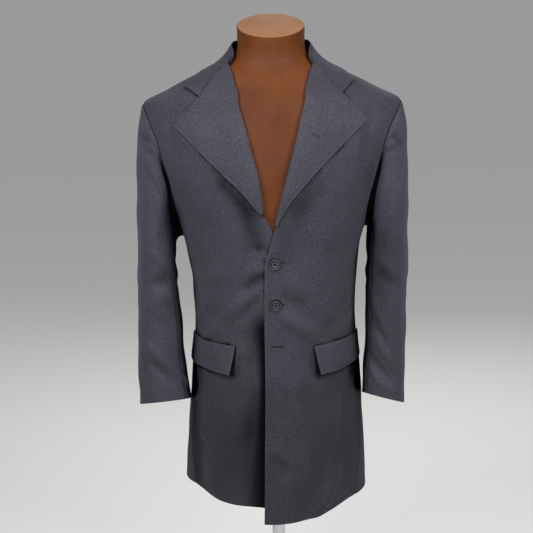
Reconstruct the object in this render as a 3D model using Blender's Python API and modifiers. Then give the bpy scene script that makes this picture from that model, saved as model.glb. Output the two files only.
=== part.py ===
"""Frock coat worn by a limbless dress form on a pole and a round base.

Metres, +Z up. The wearer faces -Y, so the wearer's left is +X. The origin is on the floor, under the pole.
Angles round the body start at the front (-Y) and grow towards the wearer's left (+X).
"""

from math import pi, radians

import bmesh
import bpy
import numpy as np
from mathutils import Vector

# ---------------------------------------------------------------- driving sizes

WALL = 0.0022
SEAM = 0.0003
NECK_SEAM = 0.00045
STEP = 1e-4

HEM_HEIGHT = 0.420
FOLDS_FULL_HEIGHT = 0.430
ARMPIT_HEIGHT = 0.980
SHOULDER_HEIGHT = 1.198
NECK_HEIGHT = 1.276

BODY_COLUMNS = ("height", "right", "left", "front", "back", "middle", "fullness")
BODY_ROWS = (
    (0.420, 0.186, 0.177, 0.148, 0.140, 0.034, -0.010),
    (0.520, 0.179, 0.173, 0.144, 0.135, 0.024, -0.006),
    (0.610, 0.170, 0.167, 0.139, 0.128, 0.014, -0.002),
    (0.700, 0.162, 0.161, 0.135, 0.118, 0.007, 0.001),
    (0.760, 0.157, 0.1545, 0.134, 0.107, 0.003, 0.003),
    (0.800, 0.1555, 0.153, 0.137, 0.098, 0.0, 0.003),
    (0.860, 0.156, 0.156, 0.142, 0.096, 0.0, 0.003),
    (0.917, 0.1675, 0.162, 0.144, 0.104, 0.0, 0.003),
    (0.980, 0.180, 0.180, 0.142, 0.115, 0.0, 0.003),
    (1.020, 0.197, 0.197, 0.140, 0.121, 0.0, 0.003),
    (1.055, 0.214, 0.214, 0.138, 0.125, 0.0, 0.003),
    (1.090, 0.2287, 0.2287, 0.135, 0.127, 0.0, 0.002),
    (1.130, 0.2384, 0.2384, 0.130, 0.127, 0.0, 0.001),
    (1.165, 0.2430, 0.2430, 0.1225, 0.123, 0.0, 0.0),
    (1.185, 0.2432, 0.2432, 0.116, 0.119, 0.0, 0.0),
    (1.198, 0.2405, 0.2405, 0.111, 0.115, 0.0, 0.0),
    (1.2225, 0.196, 0.196, 0.097, 0.106, 0.0, 0.0),
    (1.247, 0.148, 0.148, 0.084, 0.095, 0.0, 0.0),
    (1.263, 0.109, 0.109, 0.076, 0.085, 0.0, 0.0),
    (1.276, 0.082, 0.082, 0.071, 0.077, 0.0, 0.0),
)

# Angle and width in degrees, the height where the fold starts, and how far out it stands at the hem.
SKIRT_FOLDS = (
    (24.0, 9.0, 0.70, 0.006),
    (56.0, 17.0, 0.72, -0.011),
    (-40.0, 12.0, 0.72, 0.005),
    (-62.0, 14.0, 0.70, -0.006),
    (128.0, 12.0, 0.70, 0.006),
    (146.0, 12.0, 0.66, -0.005),
    (-124.0, 13.0, 0.68, 0.007),
    (-145.0, 12.0, 0.70, -0.005),
)

SIDE_SEAM_COLUMNS = ("height", "angle")
SIDE_SEAM_ROWS = ((0.420, 67.0), (0.600, 76.0), (0.700, 84.0), (0.760, 86.0), (0.980, 90.0))

ARMHOLE_DEPTHS = {"front": 0.0620, "back": 0.0590}
ARM_PLATE_GAP = 0.010

EDGE_COLUMNS = ("height", "across")
EDGE_LEFT_ROWS = (
    (0.420, -0.0277),
    (0.563, -0.0240),
    (0.696, -0.0215),
    (0.821, -0.0210),
    (0.907, -0.0190),
    (0.925, -0.0160),
    (0.942, -0.0100),
    (0.958, -0.0050),
    (0.983, 0.0037),
)
ROLL_LEFT_ROWS = (
    (0.983, 0.0037),
    (1.056, 0.0201),
    (1.136, 0.0410),
    (1.196, 0.0566),
    (1.2305, 0.0648),
    (1.268, 0.0722),
)
EDGE_RIGHT_ROWS = (
    (0.430, -0.0200),
    (0.700, -0.0210),
    (0.880, -0.0220),
    (0.940, -0.0120),
    (0.965, -0.0020),
    (0.985, 0.0100),
    (1.005, 0.0219),
)
ROLL_RIGHT_ROWS = (
    (1.005, 0.0219),
    (1.057, 0.0264),
    (1.119, 0.0395),
    (1.181, 0.0562),
    (1.215, 0.0630),
    (1.268, 0.0760),
)

LAP_FASTENED, LAP_FREE = 0.0032, 0.0066
LAP_FREE_FROM, LAP_FREE_TO = 0.835, 0.775
LAP_FROM, LAP_TO = 0.028, 0.060
LAP_TOP_FROM, LAP_TOP_TO = 1.02, 1.08
SWING_OVER, SWING_UNDER = 0.004, 0.014
SWING_FROM, SWING_TO = 0.030, 0.110
SWING_TOP = 0.82

VENT_TOP = 0.7365
VENT_START, VENT_SPREAD = 0.040, 0.030
VENT_LAP = 0.0042
VENT_LAP_FROM, VENT_LAP_TO = 0.030, 0.060
VENT_UNDERLAP = 0.026

BUTTON_HEIGHTS = {"button_top": 0.914, "button_middle": 0.837, "button_lower": 0.759}
BUTTON_RADIUS = 0.010
BUTTON_THICK = 0.0032
BUTTON_SEAT = 0.0009

# Corners as (across, height): front top, rear top, front low, rear low.
FLAPS = {
    "left": ((0.068, 0.7565), (0.1535, 0.761), (0.0775, 0.701), (0.1585, 0.7125)),
    "right": ((0.074, 0.7575), (0.1550, 0.7635), (0.082, 0.703), (0.1600, 0.710)),
}
FLAP_WALL = 0.0024
FLAP_SEATED = 0.0009
FLAP_PROUD = 0.0035
FLAP_REAR_SHARE = 0.1

ROLL_RADIUS = 0.0006
LAPEL_PUFF = 0.0030
PUFF_NEAR_ROLL, PUFF_NEAR_BREAK = 0.6, 0.8
# A lapel's free edge and its seam with the collar, as (across, height).
LAPEL_EDGES = {
    "left": (
        (0.0037, 0.979),
        (0.019, 1.012),
        (0.047, 1.047),
        (0.0835, 1.084),
        (0.1205, 1.120),
        (0.170, 1.167),
    ),
    "right": (
        (0.0219, 1.001),
        (0.0415, 1.026),
        (0.061, 1.048),
        (0.103, 1.087),
        (0.140, 1.124),
        (0.177, 1.1605),
    ),
}
GORGES = {
    "left": ((0.0722, 1.268), (0.0885, 1.261), (0.102, 1.241), (0.127, 1.214)),
    "right": ((0.0760, 1.268), (0.0940, 1.259), (0.1125, 1.238), (0.132, 1.2105)),
}

# The collar from just behind the gorge to the centre back, as places on one side: its fold, and
# halfway down its outer leaf.
COLLAR_MIDDLE_START = (0.0900, -0.052, 1.262)
COLLAR_ROWS = (
    ((0.0765, -0.034, 1.288), (0.0905, -0.040, 1.268)),
    ((0.0755, -0.010, 1.301), (0.0915, -0.010, 1.273)),
    ((0.0695, 0.022, 1.308), (0.0860, 0.030, 1.277)),
    ((0.0450, 0.055, 1.311), (0.0520, 0.071, 1.280)),
    ((0.0, 0.070, 1.312), (0.0, 0.085, 1.281)),
)
COLLAR_EASE = 0.0010
# The collar's outer edge, as (angle in degrees, height).
COLLAR_EDGE_ROWS = ((72.0, 1.249), (90.0, 1.2592), (120.0, 1.2575), (150.0, 1.2565), (180.0, 1.257))

SLEEVE_COLUMNS = ("height", "outer", "inner", "centre", "depth")
SLEEVES = {
    1: (
        (0.955, 0.2545, 0.1790, -0.006, 0.080),
        (0.916, 0.2545, 0.1755, -0.008, 0.077),
        (0.839, 0.2525, 0.1745, -0.014, 0.068),
        (0.782, 0.2505, 0.1726, -0.022, 0.062),
        (0.723, 0.2478, 0.1706, -0.031, 0.056),
        (0.686, 0.2470, 0.1668, -0.038, 0.052),
        (0.641, 0.2450, 0.1639, -0.046, 0.049),
        (0.610, 0.2432, 0.1620, -0.050, 0.047),
    ),
    -1: (
        (0.955, 0.2585, 0.1890, -0.006, 0.081),
        (0.916, 0.2600, 0.1885, -0.008, 0.079),
        (0.845, 0.2625, 0.1850, -0.014, 0.069),
        (0.789, 0.2635, 0.1800, -0.022, 0.062),
        (0.7295, 0.2647, 0.1760, -0.031, 0.056),
        (0.683, 0.2643, 0.1710, -0.038, 0.052),
        (0.636, 0.2637, 0.1650, -0.046, 0.048),
        (0.610, 0.2635, 0.1630, -0.049, 0.046),
    ),
}
# A cuff's height, and how much lower its outer side hangs than its middle.
CUFFS = {1: (0.631, 0.0105), -1: (0.631, 0.0050)}
CUFF_TILT = 0.012
SLEEVE_TOP = 0.945
CAP_OUT, CAP_DOWN, CAP_UNDER, CAP_INTO = 0.050, 0.070, 0.050, 0.012
ARRIVE_MIDDLE, ARRIVE_OUTER = 0.15, 0.10

FORM_CLEAR = 0.008
FORM_SEAT = 0.0010
FORM_YOKE_CLEAR = 0.0040
FORM_BOTTOM = 0.620
FORM_BODY_ROWS = 15
FORM_TOP_HEIGHTS = (1.200, 1.212, 1.2225, 1.235, 1.247, 1.256, 1.263, 1.2695, NECK_HEIGHT)
FORM_SEATED_FROM, FORM_SEATED_TO = 1.185, 1.2125
YOKE_FROM, YOKE_TO = 0.15, 0.70
# Height, half width, and depth ahead of and behind the pole.
FORM_NECK_ROWS = (
    (1.284, 0.0690, 0.0640, 0.0650),
    (1.294, 0.0640, 0.0635, 0.0610),
    (1.306, 0.0625, 0.0640, 0.0590),
    (1.336, 0.0630, 0.0645, 0.0595),
)
NECK_TOP_SLOPE = 0.35

POLE_RADIUS = 0.0125
BASE_RADIUS = 0.180
BASE_THICK = 0.010

LOWER_ROWS = 16
UPPER_ROWS = 11
ROLL_ROWS, CENTRE_BACK_ROWS = 8, 6
FRONT_COLUMNS, BACK_COLUMNS = 12, 10
CAP_ROWS, ARM_ROWS = 7, 9
FRONT_SEAM_ROW, BACK_SEAM_ROW = 9, 14
GORGE_COLUMNS, TIP_COLUMNS, ROLL_COLUMNS = 4, 3, 5
NOTCH_FRACTION = 0.55
FLAP_CELLS_DOWN, FLAP_CELLS_ALONG = 3, 7
FORM_COLUMNS = 28

FRONTS = {
    1: {
        "edge": EDGE_LEFT_ROWS,
        "roll": ROLL_LEFT_ROWS,
        "lapel": LAPEL_EDGES["left"],
        "gorge": GORGES["left"],
        "flap": FLAPS["left"],
        "collar_tip": (0.150, 1.234),
        "hem": (0.420, 0.427, 0.437),
    },
    -1: {
        "edge": EDGE_RIGHT_ROWS,
        "roll": ROLL_RIGHT_ROWS,
        "lapel": LAPEL_EDGES["right"],
        "gorge": GORGES["right"],
        "flap": FLAPS["right"],
        "collar_tip": (0.159, 1.227),
        "hem": (0.4365, 0.457, 0.446),
    },
}


# ---------------------------------------------------------------- curves and tables


def follow(xs, ys, x):
    """Smooth curve through the points (xs, ys) that never swings past them."""
    xs, ys = np.asarray(xs, float), np.asarray(ys, float)
    step = np.diff(xs)
    slope = np.diff(ys) / step
    tangent = np.zeros(len(xs))
    tangent[0], tangent[-1] = slope[0], slope[-1]
    for i in range(1, len(xs) - 1):
        before, after = slope[i - 1], slope[i]
        if before * after > 0:
            tangent[i] = 2 * before * after / (before + after)
    x = np.clip(x, xs[0], xs[-1])
    i = np.clip(np.searchsorted(xs, x, side="right") - 1, 0, len(step) - 1)
    t = (x - xs[i]) / step[i]
    rise = ys[i + 1] - ys[i]
    bend = t * (1 - t) * step[i]
    return (
        ys[i] + rise * t * t * (3 - 2 * t) + bend * ((1 - t) * tangent[i] - t * tangent[i + 1])
    )


def column(columns, rows, name, x):
    """Value of the named column where the first column is x."""
    rows = sorted(rows)
    return follow([row[0] for row in rows], [row[columns.index(name)] for row in rows], x)


def ease(x, start, end):
    """0 before start, 1 after end, smooth between them."""
    t = np.clip((x - start) / (end - start), 0, 1)
    return t * t * (3 - 2 * t)


def mix(a, b, t):
    return a + (b - a) * t


def along(points, t):
    """Places at the fractions t of the length of a smooth curve through the points."""
    points = np.asarray(points, float)
    length = np.concatenate([[0], np.cumsum(np.linalg.norm(np.diff(points, axis=0), axis=1))])
    return np.stack([follow(length, axis, t * length[-1]) for axis in points.T], axis=-1)


def unit(vectors):
    return vectors / np.linalg.norm(vectors, axis=-1, keepdims=True)


# ---------------------------------------------------------------- the cloth's surfaces


def half_width(height, across):
    """Distance from the middle to the side at this height, on the side that across is on."""
    left = column(BODY_COLUMNS, BODY_ROWS, "left", height)
    right = column(BODY_COLUMNS, BODY_ROWS, "right", height)
    return np.where(across >= 0, left, right)


def skirt_folds(angle, height):
    out = 0
    for middle, width, top, depth in SKIRT_FOLDS:
        turn = (angle - radians(middle) + pi) % (2 * pi) - pi
        out = out + depth * np.exp(-((turn / radians(width)) ** 2)) * ease(-height, -top, -FOLDS_FULL_HEIGHT)
    return out


def body(angle, height):
    """The outer face of the worn cloth, before any lap."""
    front, back, middle, fullness = (
        column(BODY_COLUMNS, BODY_ROWS, name, height)
        for name in ("front", "back", "middle", "fullness")
    )
    across = half_width(height, np.sin(angle)) * np.sin(angle)
    depth = np.where(np.cos(angle) > 0, front + middle, back - middle)
    out = fullness * np.sin(2 * angle) ** 2 + skirt_folds(angle, height)
    return np.stack(
        [
            across + out * np.sin(angle),
            middle - depth * np.cos(angle) - out * np.cos(angle),
            height + 0 * angle,
        ],
        axis=-1,
    )


def front_left(angle, height):
    """The left front laps over the right one, and its skirt swings forward."""
    points = body(angle, height)
    near = 1 - ease(points[..., 0], LAP_FROM, LAP_TO)
    lap = mix(LAP_FASTENED, LAP_FREE, ease(-height, -LAP_FREE_FROM, -LAP_FREE_TO))
    swing = (1 - ease(points[..., 0], SWING_FROM, SWING_TO)) * ease(-height, -SWING_TOP, -HEM_HEIGHT)
    points[..., 1] -= lap * near * (1 - ease(height, LAP_TOP_FROM, LAP_TOP_TO)) + SWING_OVER * swing
    return points


def front_right(angle, height):
    """The right front lies under the left one, and its skirt hangs back."""
    points = body(angle, height)
    swing = (1 - ease(-points[..., 0], SWING_FROM, SWING_TO)) * ease(-height, -SWING_TOP, -HEM_HEIGHT)
    points[..., 1] += SWING_UNDER * swing
    return points


def back_left(angle, height):
    """Below the vent's top the left back lies over the right one's underlap."""
    points = body(angle, height)
    near = 1 - ease(points[..., 0], VENT_LAP_FROM, VENT_LAP_TO)
    points[..., 1] += VENT_LAP * near * ease(-height, -VENT_TOP - VENT_START, -VENT_TOP)
    return points


def normals(surface, u, v):
    """Outward directions of surface(u, v), by differences."""
    across = surface(u + STEP, v) - surface(u - STEP, v)
    up = surface(u, v + STEP) - surface(u, v - STEP)
    return unit(np.cross(across, up))


def grid_normals(points):
    """Directions square to a grid of points, rows by columns."""
    return unit(np.cross(np.gradient(points, axis=1), np.gradient(points, axis=0)))


# ---------------------------------------------------------------- solids


def material(name, colour, roughness, metallic=0.0):
    made = bpy.data.materials.new(name)
    made.use_nodes = True
    shader = made.node_tree.nodes["Principled BSDF"]
    shader.inputs["Base Color"].default_value = (*colour, 1)
    shader.inputs["Roughness"].default_value = roughness
    shader.inputs["Metallic"].default_value = metallic
    return made


def add_object(name, points, faces, finish, smooth_angle=50):
    mesh = bpy.data.meshes.new(name)
    mesh.from_pydata([tuple(point) for point in points], [], faces)
    shape = bmesh.new()
    shape.from_mesh(mesh)
    bmesh.ops.recalc_face_normals(shape, faces=shape.faces)
    if shape.calc_volume(signed=True) < 0:
        bmesh.ops.reverse_faces(shape, faces=shape.faces)
    shape.to_mesh(mesh)
    shape.free()
    mesh.shade_smooth()
    mesh.set_sharp_from_angle(angle=radians(smooth_angle))
    mesh.materials.append(finish)
    made = bpy.data.objects.new(name, mesh)
    coat.objects.link(made)
    return made


def wall(name, outer, inner, finish):
    """Closed wall between two grids of points, rows by columns."""
    rows, columns = outer.shape[:2]

    def at(layer, row, column_number):
        return (layer * rows + row) * columns + column_number

    faces = []
    for r in range(rows - 1):
        for c in range(columns - 1):
            faces.append((at(0, r, c), at(0, r, c + 1), at(0, r + 1, c + 1), at(0, r + 1, c)))
            faces.append((at(1, r, c), at(1, r + 1, c), at(1, r + 1, c + 1), at(1, r, c + 1)))
    rim = [(0, c) for c in range(columns - 1)]
    rim += [(r, columns - 1) for r in range(rows - 1)]
    rim += [(rows - 1, c) for c in range(columns - 1, 0, -1)]
    rim += [(r, 0) for r in range(rows - 1, 0, -1)]
    for here, there in zip(rim, rim[1:] + rim[:1]):
        faces.append((at(0, *there), at(0, *here), at(1, *here), at(1, *there)))
    points = np.concatenate([outer.reshape(-1, 3), inner.reshape(-1, 3)])
    return add_object(name, points, faces, finish)


def turned(name, profile, steps, finish):
    """Profile of (radius, height), from top to bottom, turned round the Z axis."""
    mesh = bpy.data.meshes.new(name)
    points = [(radius, 0, height) for radius, height in profile]
    mesh.from_pydata(points, [(i, i + 1) for i in range(len(points) - 1)], [])
    mesh.materials.append(finish)
    made = bpy.data.objects.new(name, mesh)
    coat.objects.link(made)
    screw = made.modifiers.new("Turn", "SCREW")
    screw.steps = screw.render_steps = steps
    screw.use_merge_vertices = True
    screw.merge_threshold = 0.00001
    screw.use_smooth_shade = True
    return made


# ---------------------------------------------------------------- fronts and backs


def front_angle_on(across, height, side):
    """Angle from the front to a place on this side, across measured towards this side."""
    return np.arcsin(np.clip(across / half_width(height, side * across), -1, 1))


def armhole(turn, side):
    """Angle and height on the armhole: turn is 0 at the shoulder, pi at the armpit, and past pi behind."""
    height = mix(ARMPIT_HEIGHT, SHOULDER_HEIGHT, (1 + np.cos(turn)) / 2)
    ahead = ARMHOLE_DEPTHS["front"] / column(BODY_COLUMNS, BODY_ROWS, "front", height)
    behind = ARMHOLE_DEPTHS["back"] / column(BODY_COLUMNS, BODY_ROWS, "back", height)
    forward = np.sin(turn) * np.where(np.sin(turn) >= 0, ahead, behind)
    return side * np.arccos(forward), height


def neck_limit(side, angles, heights, fractions):
    """Angles and heights along a panel's upper inner limit, at fractions of its length."""
    places = body(side * np.asarray(angles), np.asarray(heights))
    length = np.concatenate([[0], np.cumsum(np.linalg.norm(np.diff(places, axis=0), axis=1))])
    at = fractions * length[-1]
    return follow(length, angles, at), follow(length, heights, at)


def upper_inner(side, front):
    """Inner limit from the break, or the armpit's level at the back, to the neck point."""
    if front:
        rows = FRONTS[side]["roll"]
        heights = [row[0] for row in rows]
        angles = [float(front_angle_on(row[1], row[0], side)) for row in rows]
        first_rows = ROLL_ROWS
    else:
        heights = [ARMPIT_HEIGHT, NECK_HEIGHT]
        angles = [pi, pi]
        first_rows = CENTRE_BACK_ROWS
    angle, height = neck_limit(side, angles, heights, np.linspace(0, 1, first_rows + 1))
    round_neck = np.linspace(0, 1, UPPER_ROWS - first_rows + 1)[1:]
    return (
        np.concatenate([angle, mix(angles[-1], pi / 2, round_neck)]),
        np.concatenate([height, mix(heights[-1], NECK_HEIGHT, ease(round_neck, 0, 1))]),
    )


def panel_grid(side, front):
    """Angles and heights of a front or back panel, rows from the hem up, columns outwards."""
    shape = FRONTS[side]
    hem_inner, hem_side, hem_back = shape["hem"]
    up = np.linspace(0, 1, LOWER_ROWS + 1)
    inner_top = shape["roll"][0][0] if front else ARMPIT_HEIGHT
    inner_height = mix(hem_inner if front else hem_back, inner_top, up)
    outer_height = mix(hem_side, ARMPIT_HEIGHT, up)
    if front:
        edge = column(EDGE_COLUMNS, shape["edge"], "across", inner_height)
        inner_angle = front_angle_on(edge, inner_height, side)
    else:
        inner_angle = np.full(len(up), pi)
    seam = column(SIDE_SEAM_COLUMNS, SIDE_SEAM_ROWS, "angle", outer_height)
    outer_angle = radians(1) * seam
    neck_angle, neck_height = upper_inner(side, front)
    turn = np.linspace(pi, 0 if front else 2 * pi, UPPER_ROWS + 1)[1:]
    sleeve_angle, sleeve_height = armhole(turn, 1)
    inner_angle = np.concatenate([inner_angle, neck_angle[1:]])
    inner_height = np.concatenate([inner_height, neck_height[1:]])
    outer_angle = np.concatenate([outer_angle, sleeve_angle])
    outer_height = np.concatenate([outer_height, sleeve_height])
    count = FRONT_COLUMNS if front else BACK_COLUMNS
    across = np.linspace(0, 1, count + 1)
    angle = mix(inner_angle[:, None], outer_angle[:, None], across)
    height = mix(inner_height[:, None], outer_height[:, None], across)
    return side * angle, height


def seam_back(angle, height, side, front):
    """Moves a panel's limits half a seam's gap back from the seams that it shares."""
    places = body(angle, height)
    per_angle = np.linalg.norm(body(angle + STEP, height) - places, axis=-1) / STEP
    half_gap = SEAM / 2 / per_angle
    towards = -side if front else side
    lower = slice(0, LOWER_ROWS + 1)
    angle[lower, -1] += towards * half_gap[lower, -1]
    angle[-1, :] += towards * half_gap[-1, :]
    if not front:
        centre = slice(0, LOWER_ROWS + CENTRE_BACK_ROWS + 1)
        angle[centre, 0] -= side * half_gap[centre, 0]
    return angle


def build_panel(name, side, front, surface, finish):
    angle, height = panel_grid(side, front)
    if name == "back_right":
        below = ease(-height[:, :1], -VENT_TOP, VENT_SPREAD - VENT_TOP)
        reach = VENT_UNDERLAP / column(BODY_COLUMNS, BODY_ROWS, "right", height[:, :1])
        fade = np.linspace(1, 0, angle.shape[1]) ** 3
        angle = angle - below * reach * fade
    angle = seam_back(angle, height, side, front)
    outer = surface(angle, height)
    inner = outer - WALL * normals(surface, angle, height)
    return wall(name, outer, inner, finish)


# ---------------------------------------------------------------- lapels, collar and flaps


def lapel_top(side):
    """Fractions of the way, and places (across, height), from the roll to the notch and the tip."""
    shape = FRONTS[side]
    seam = along(shape["gorge"], np.linspace(0, 1, GORGE_COLUMNS + 1))
    free = along([shape["gorge"][-1], shape["lapel"][-1]], np.linspace(0, 1, TIP_COLUMNS + 1))
    fractions = np.concatenate(
        [
            np.linspace(0, NOTCH_FRACTION, GORGE_COLUMNS + 1),
            np.linspace(NOTCH_FRACTION, 1, TIP_COLUMNS + 1)[1:],
        ]
    )
    return fractions, np.concatenate([seam, free[1:]])


def lapel_walls(side, surface):
    """Outer and inner grids of a lapel: round the roll from the front's edge, then outwards."""
    shape = FRONTS[side]
    angles, heights = upper_inner(side, True)
    angles, heights = side * angles[: ROLL_ROWS + 1], heights[: ROLL_ROWS + 1]
    edge = surface(angles, heights)
    square = normals(surface, angles, heights)
    upwards = np.gradient(edge, axis=0)
    beyond = unit(np.cross(upwards, square)) * -side
    centre = edge + SEAM * beyond + ROLL_RADIUS * square
    bends = np.linspace(-pi / 2, pi / 2, ROLL_COLUMNS + 1)
    outer, inner = [], []
    for bend in bends:
        ray = np.cos(bend) * beyond + np.sin(bend) * square
        outer.append(centre + (ROLL_RADIUS + WALL) * ray)
        inner.append(centre + ROLL_RADIUS * ray)

    up = np.linspace(0, 1, ROLL_ROWS + 1)
    roll_across = np.sin(side * angles) * half_width(heights, angles)
    roll = np.stack([roll_across, heights], axis=-1)
    rim = along(shape["lapel"], up)
    split, top = lapel_top(side)
    for fraction, at_top in zip(split[1:], top[1:]):
        place = mix(roll, rim, fraction)
        place = place + (up**2)[:, None] * (at_top - mix(roll[-1], rim[-1], fraction))
        angle = side * front_angle_on(place[:, 0], place[:, 1], side)
        puff = LAPEL_PUFF * np.sin(pi * fraction**PUFF_NEAR_ROLL) * np.sin(pi * up**PUFF_NEAR_BREAK)
        lift = 2 * ROLL_RADIUS + puff[:, None]
        skin = surface(angle, place[:, 1])
        away = normals(surface, angle, place[:, 1])
        inner.append(skin + lift * away)
        outer.append(skin + (lift + WALL) * away)
    return np.stack(outer, axis=1), np.stack(inner, axis=1)


def gorge_gap(outer, inner, side):
    """Shift that parts the collar's end from the lapel's top row by the seam's gap."""
    row = np.gradient(outer[-1], axis=0)
    square = outer[-1] - inner[-1]
    return SEAM * unit(np.cross(square, row)) * side


def collar_rows(side, lapel_outer, lapel_inner):
    """Outer and inner rows of half the collar, from the gorge to the centre back."""
    seam = slice(0, ROLL_COLUMNS + GORGE_COLUMNS + 1)
    shift = gorge_gap(lapel_outer, lapel_inner, side)[seam]
    first_outer, first_inner = lapel_outer[-1, seam] + shift, lapel_inner[-1, seam] + shift
    front_angles, front_heights = upper_inner(side, True)
    back_angles, back_heights = upper_inner(side, False)
    neck_angle = side * np.concatenate(
        [front_angles[ROLL_ROWS:], back_angles[CENTRE_BACK_ROWS:-1][::-1]]
    )
    neck_height = np.concatenate(
        [front_heights[ROLL_ROWS:], back_heights[CENTRE_BACK_ROWS:-1][::-1]]
    )
    stations = np.linspace(0, 1, len(neck_angle))[1:]
    neck = body(neck_angle, neck_height)
    square = normals(body, neck_angle, neck_height)
    onwards = np.gradient(neck, axis=0)
    beyond = unit(np.cross(onwards, square)) * -side
    start = (neck + NECK_SEAM * beyond - WALL / 2 * square)[1:]
    towards = np.array([side, 1, 1])

    fold_start = (lapel_outer[-1, ROLL_COLUMNS // 2] + lapel_inner[-1, ROLL_COLUMNS // 2]) / 2
    folds = np.array([towards * fold_start] + [row[0] for row in COLLAR_ROWS])
    middles = np.array([COLLAR_MIDDLE_START] + [row[1] for row in COLLAR_ROWS])
    measure = np.linspace(0, 1, len(folds))
    fold = np.stack([follow(measure, axis, stations) for axis in folds.T], axis=-1) * towards
    middle = np.stack([follow(measure, axis, stations) for axis in middles.T], axis=-1) * towards

    tip_across, tip_height = FRONTS[side]["collar_tip"]
    tip_angle = float(front_angle_on(tip_across, tip_height, side))
    edge_angles = [tip_angle] + [radians(row[0]) for row in COLLAR_EDGE_ROWS]
    edge_heights = [tip_height] + [row[1] for row in COLLAR_EDGE_ROWS]
    reach = np.linspace(0, 1, len(stations))
    marks = np.linspace(0, 1, len(edge_angles))
    edge_angle = side * follow(marks, edge_angles, reach)
    edge_height = follow(marks, edge_heights, reach)
    lift = 2 * ROLL_RADIUS + WALL / 2 + COLLAR_EASE
    edge = body(edge_angle, edge_height) + lift * normals(body, edge_angle, edge_height)

    outwards = unit((middle - fold) * np.array([1, 1, 0]))
    rise = np.array([0, 0, 1.0])
    radius = ROLL_RADIUS + WALL / 2
    centre = fold - radius * rise
    strip = [start]
    for bend in np.linspace(pi, 0, ROLL_COLUMNS):
        strip.append(centre + radius * (np.cos(bend) * outwards + np.sin(bend) * rise))
    launch = strip[-1]
    for t in np.linspace(0, 1, GORGE_COLUMNS + 1)[1:]:
        strip.append((1 - t) ** 2 * launch + 2 * t * (1 - t) * middle + t * t * edge)
    strip = np.stack(strip, axis=1)
    first = (first_outer + first_inner) / 2
    whole = np.concatenate([first[None], strip])
    away = grid_normals(whole) * side
    away[1:, 0] = -square[1:]
    outer = whole + WALL / 2 * away
    inner = whole - WALL / 2 * away
    outer[0], inner[0] = first_outer, first_inner
    return outer, inner


def build_flap(name, side, surface, finish):
    """Pocket flap: its top lies on the front, and its free edge stands a little proud."""
    corners = np.array(FRONTS[side]["flap"])
    angles = front_angle_on(corners[:, 0], corners[:, 1], side)
    rearwards = np.linspace(0, 1, FLAP_CELLS_ALONG + 1)
    down = np.linspace(1, 0, FLAP_CELLS_DOWN + 1)[:, None]
    angle = side * mix(mix(angles[0], angles[1], rearwards), mix(angles[2], angles[3], rearwards), down)
    height = mix(
        mix(corners[0, 1], corners[1, 1], rearwards), mix(corners[2, 1], corners[3, 1], rearwards), down
    )
    lift = FLAP_SEATED + FLAP_PROUD * down * mix(1, FLAP_REAR_SHARE, rearwards)
    skin = surface(angle, height)
    away = normals(surface, angle, height)
    inner = skin + lift[..., None] * away
    outer = skin + (lift + FLAP_WALL)[..., None] * away
    return wall(name, outer, inner, finish)


# ---------------------------------------------------------------- sleeves


def armhole_ring(turn, side):
    """Points, outward directions and directions into the sleeve, round the armhole."""
    place = armhole(turn, side)
    points = body(*place)
    square = normals(body, *place)
    onwards = body(*armhole(turn + 0.01, side)) - body(*armhole(turn - 0.01, side))
    return points, square, -side * unit(np.cross(onwards, square))


def arm_ring(turn, height, side):
    rows = SLEEVES[side]
    outer, inner, centre, depth = (
        column(SLEEVE_COLUMNS, rows, name, height)
        for name in ("outer", "inner", "centre", "depth")
    )
    middle, half = (outer + inner) / 2, (outer - inner) / 2
    return np.stack(
        [side * (middle + half * np.cos(turn)), centre - depth * np.sin(turn), height + 0 * turn],
        axis=-1,
    )


def sleeve_surface(turn, length, side):
    """Mid-wall sleeve at a turn round it; length is -1 at the armhole, 0 at the arm, 1 at the cuff."""
    cuff, slant = CUFFS[side]
    cap = np.clip(length + 1, 0, 1)[..., None]
    start, square, into = armhole_ring(turn, side)
    end = arm_ring(turn, SLEEVE_TOP + 0 * turn, side)
    under = ((1 - np.cos(turn)) / 2)[..., None]
    over_shoulder = np.array([side * CAP_OUT, 0, -CAP_DOWN])
    leave = (1 - under) * over_shoulder + under * CAP_UNDER * square + CAP_INTO * into
    drop = -ARRIVE_MIDDLE - ARRIVE_OUTER * np.cos(turn)
    arrive = np.stack([0 * turn, 0 * turn, drop], axis=-1)
    head = (
        (2 * cap**3 - 3 * cap**2 + 1) * start
        + (cap**3 - 2 * cap**2 + cap) * leave
        + (3 * cap**2 - 2 * cap**3) * end
        + (cap**3 - cap**2) * arrive
    )
    down = np.clip(length, 0, 1)
    low = cuff - slant * np.cos(turn) + CUFF_TILT * np.sin(turn)
    arm = arm_ring(turn, mix(SLEEVE_TOP, low, down), side)
    return np.where((length > 0)[..., None], arm, head)


def build_sleeve_piece(name, side, first_row, last_row, finish):
    """One piece of the sleeve, between two seams that start at rows of the armhole."""
    turns = np.arange(first_row, last_row + 1) * pi / UPPER_ROWS
    down = np.concatenate([np.linspace(-1, 0, CAP_ROWS + 1), np.linspace(0, 1, ARM_ROWS + 1)[1:]])
    turn, length = np.meshgrid(turns, down)
    ahead = sleeve_surface(turn + STEP, length, side) - sleeve_surface(turn, length, side)
    half_gap = SEAM / 2 * STEP / np.linalg.norm(ahead, axis=-1)
    turn[:, 0] += half_gap[:, 0]
    turn[:, -1] -= half_gap[:, -1]
    skin = sleeve_surface(turn, length, side)
    across = sleeve_surface(turn + STEP, length, side) - sleeve_surface(turn - STEP, length, side)
    shift = np.where((length < 0) | (length >= 1), -STEP, STEP)
    shift = np.where(length <= -1, STEP, shift)
    downwards = (sleeve_surface(turn, length + shift, side) - skin) * np.sign(shift)[..., None]
    away = unit(np.cross(across, downwards)) * side
    points, square, into = armhole_ring(turn[0], side)
    skin[0] = points + SEAM * into
    away[0] = square
    return wall(name, skin, skin - WALL * away, finish)


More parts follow.
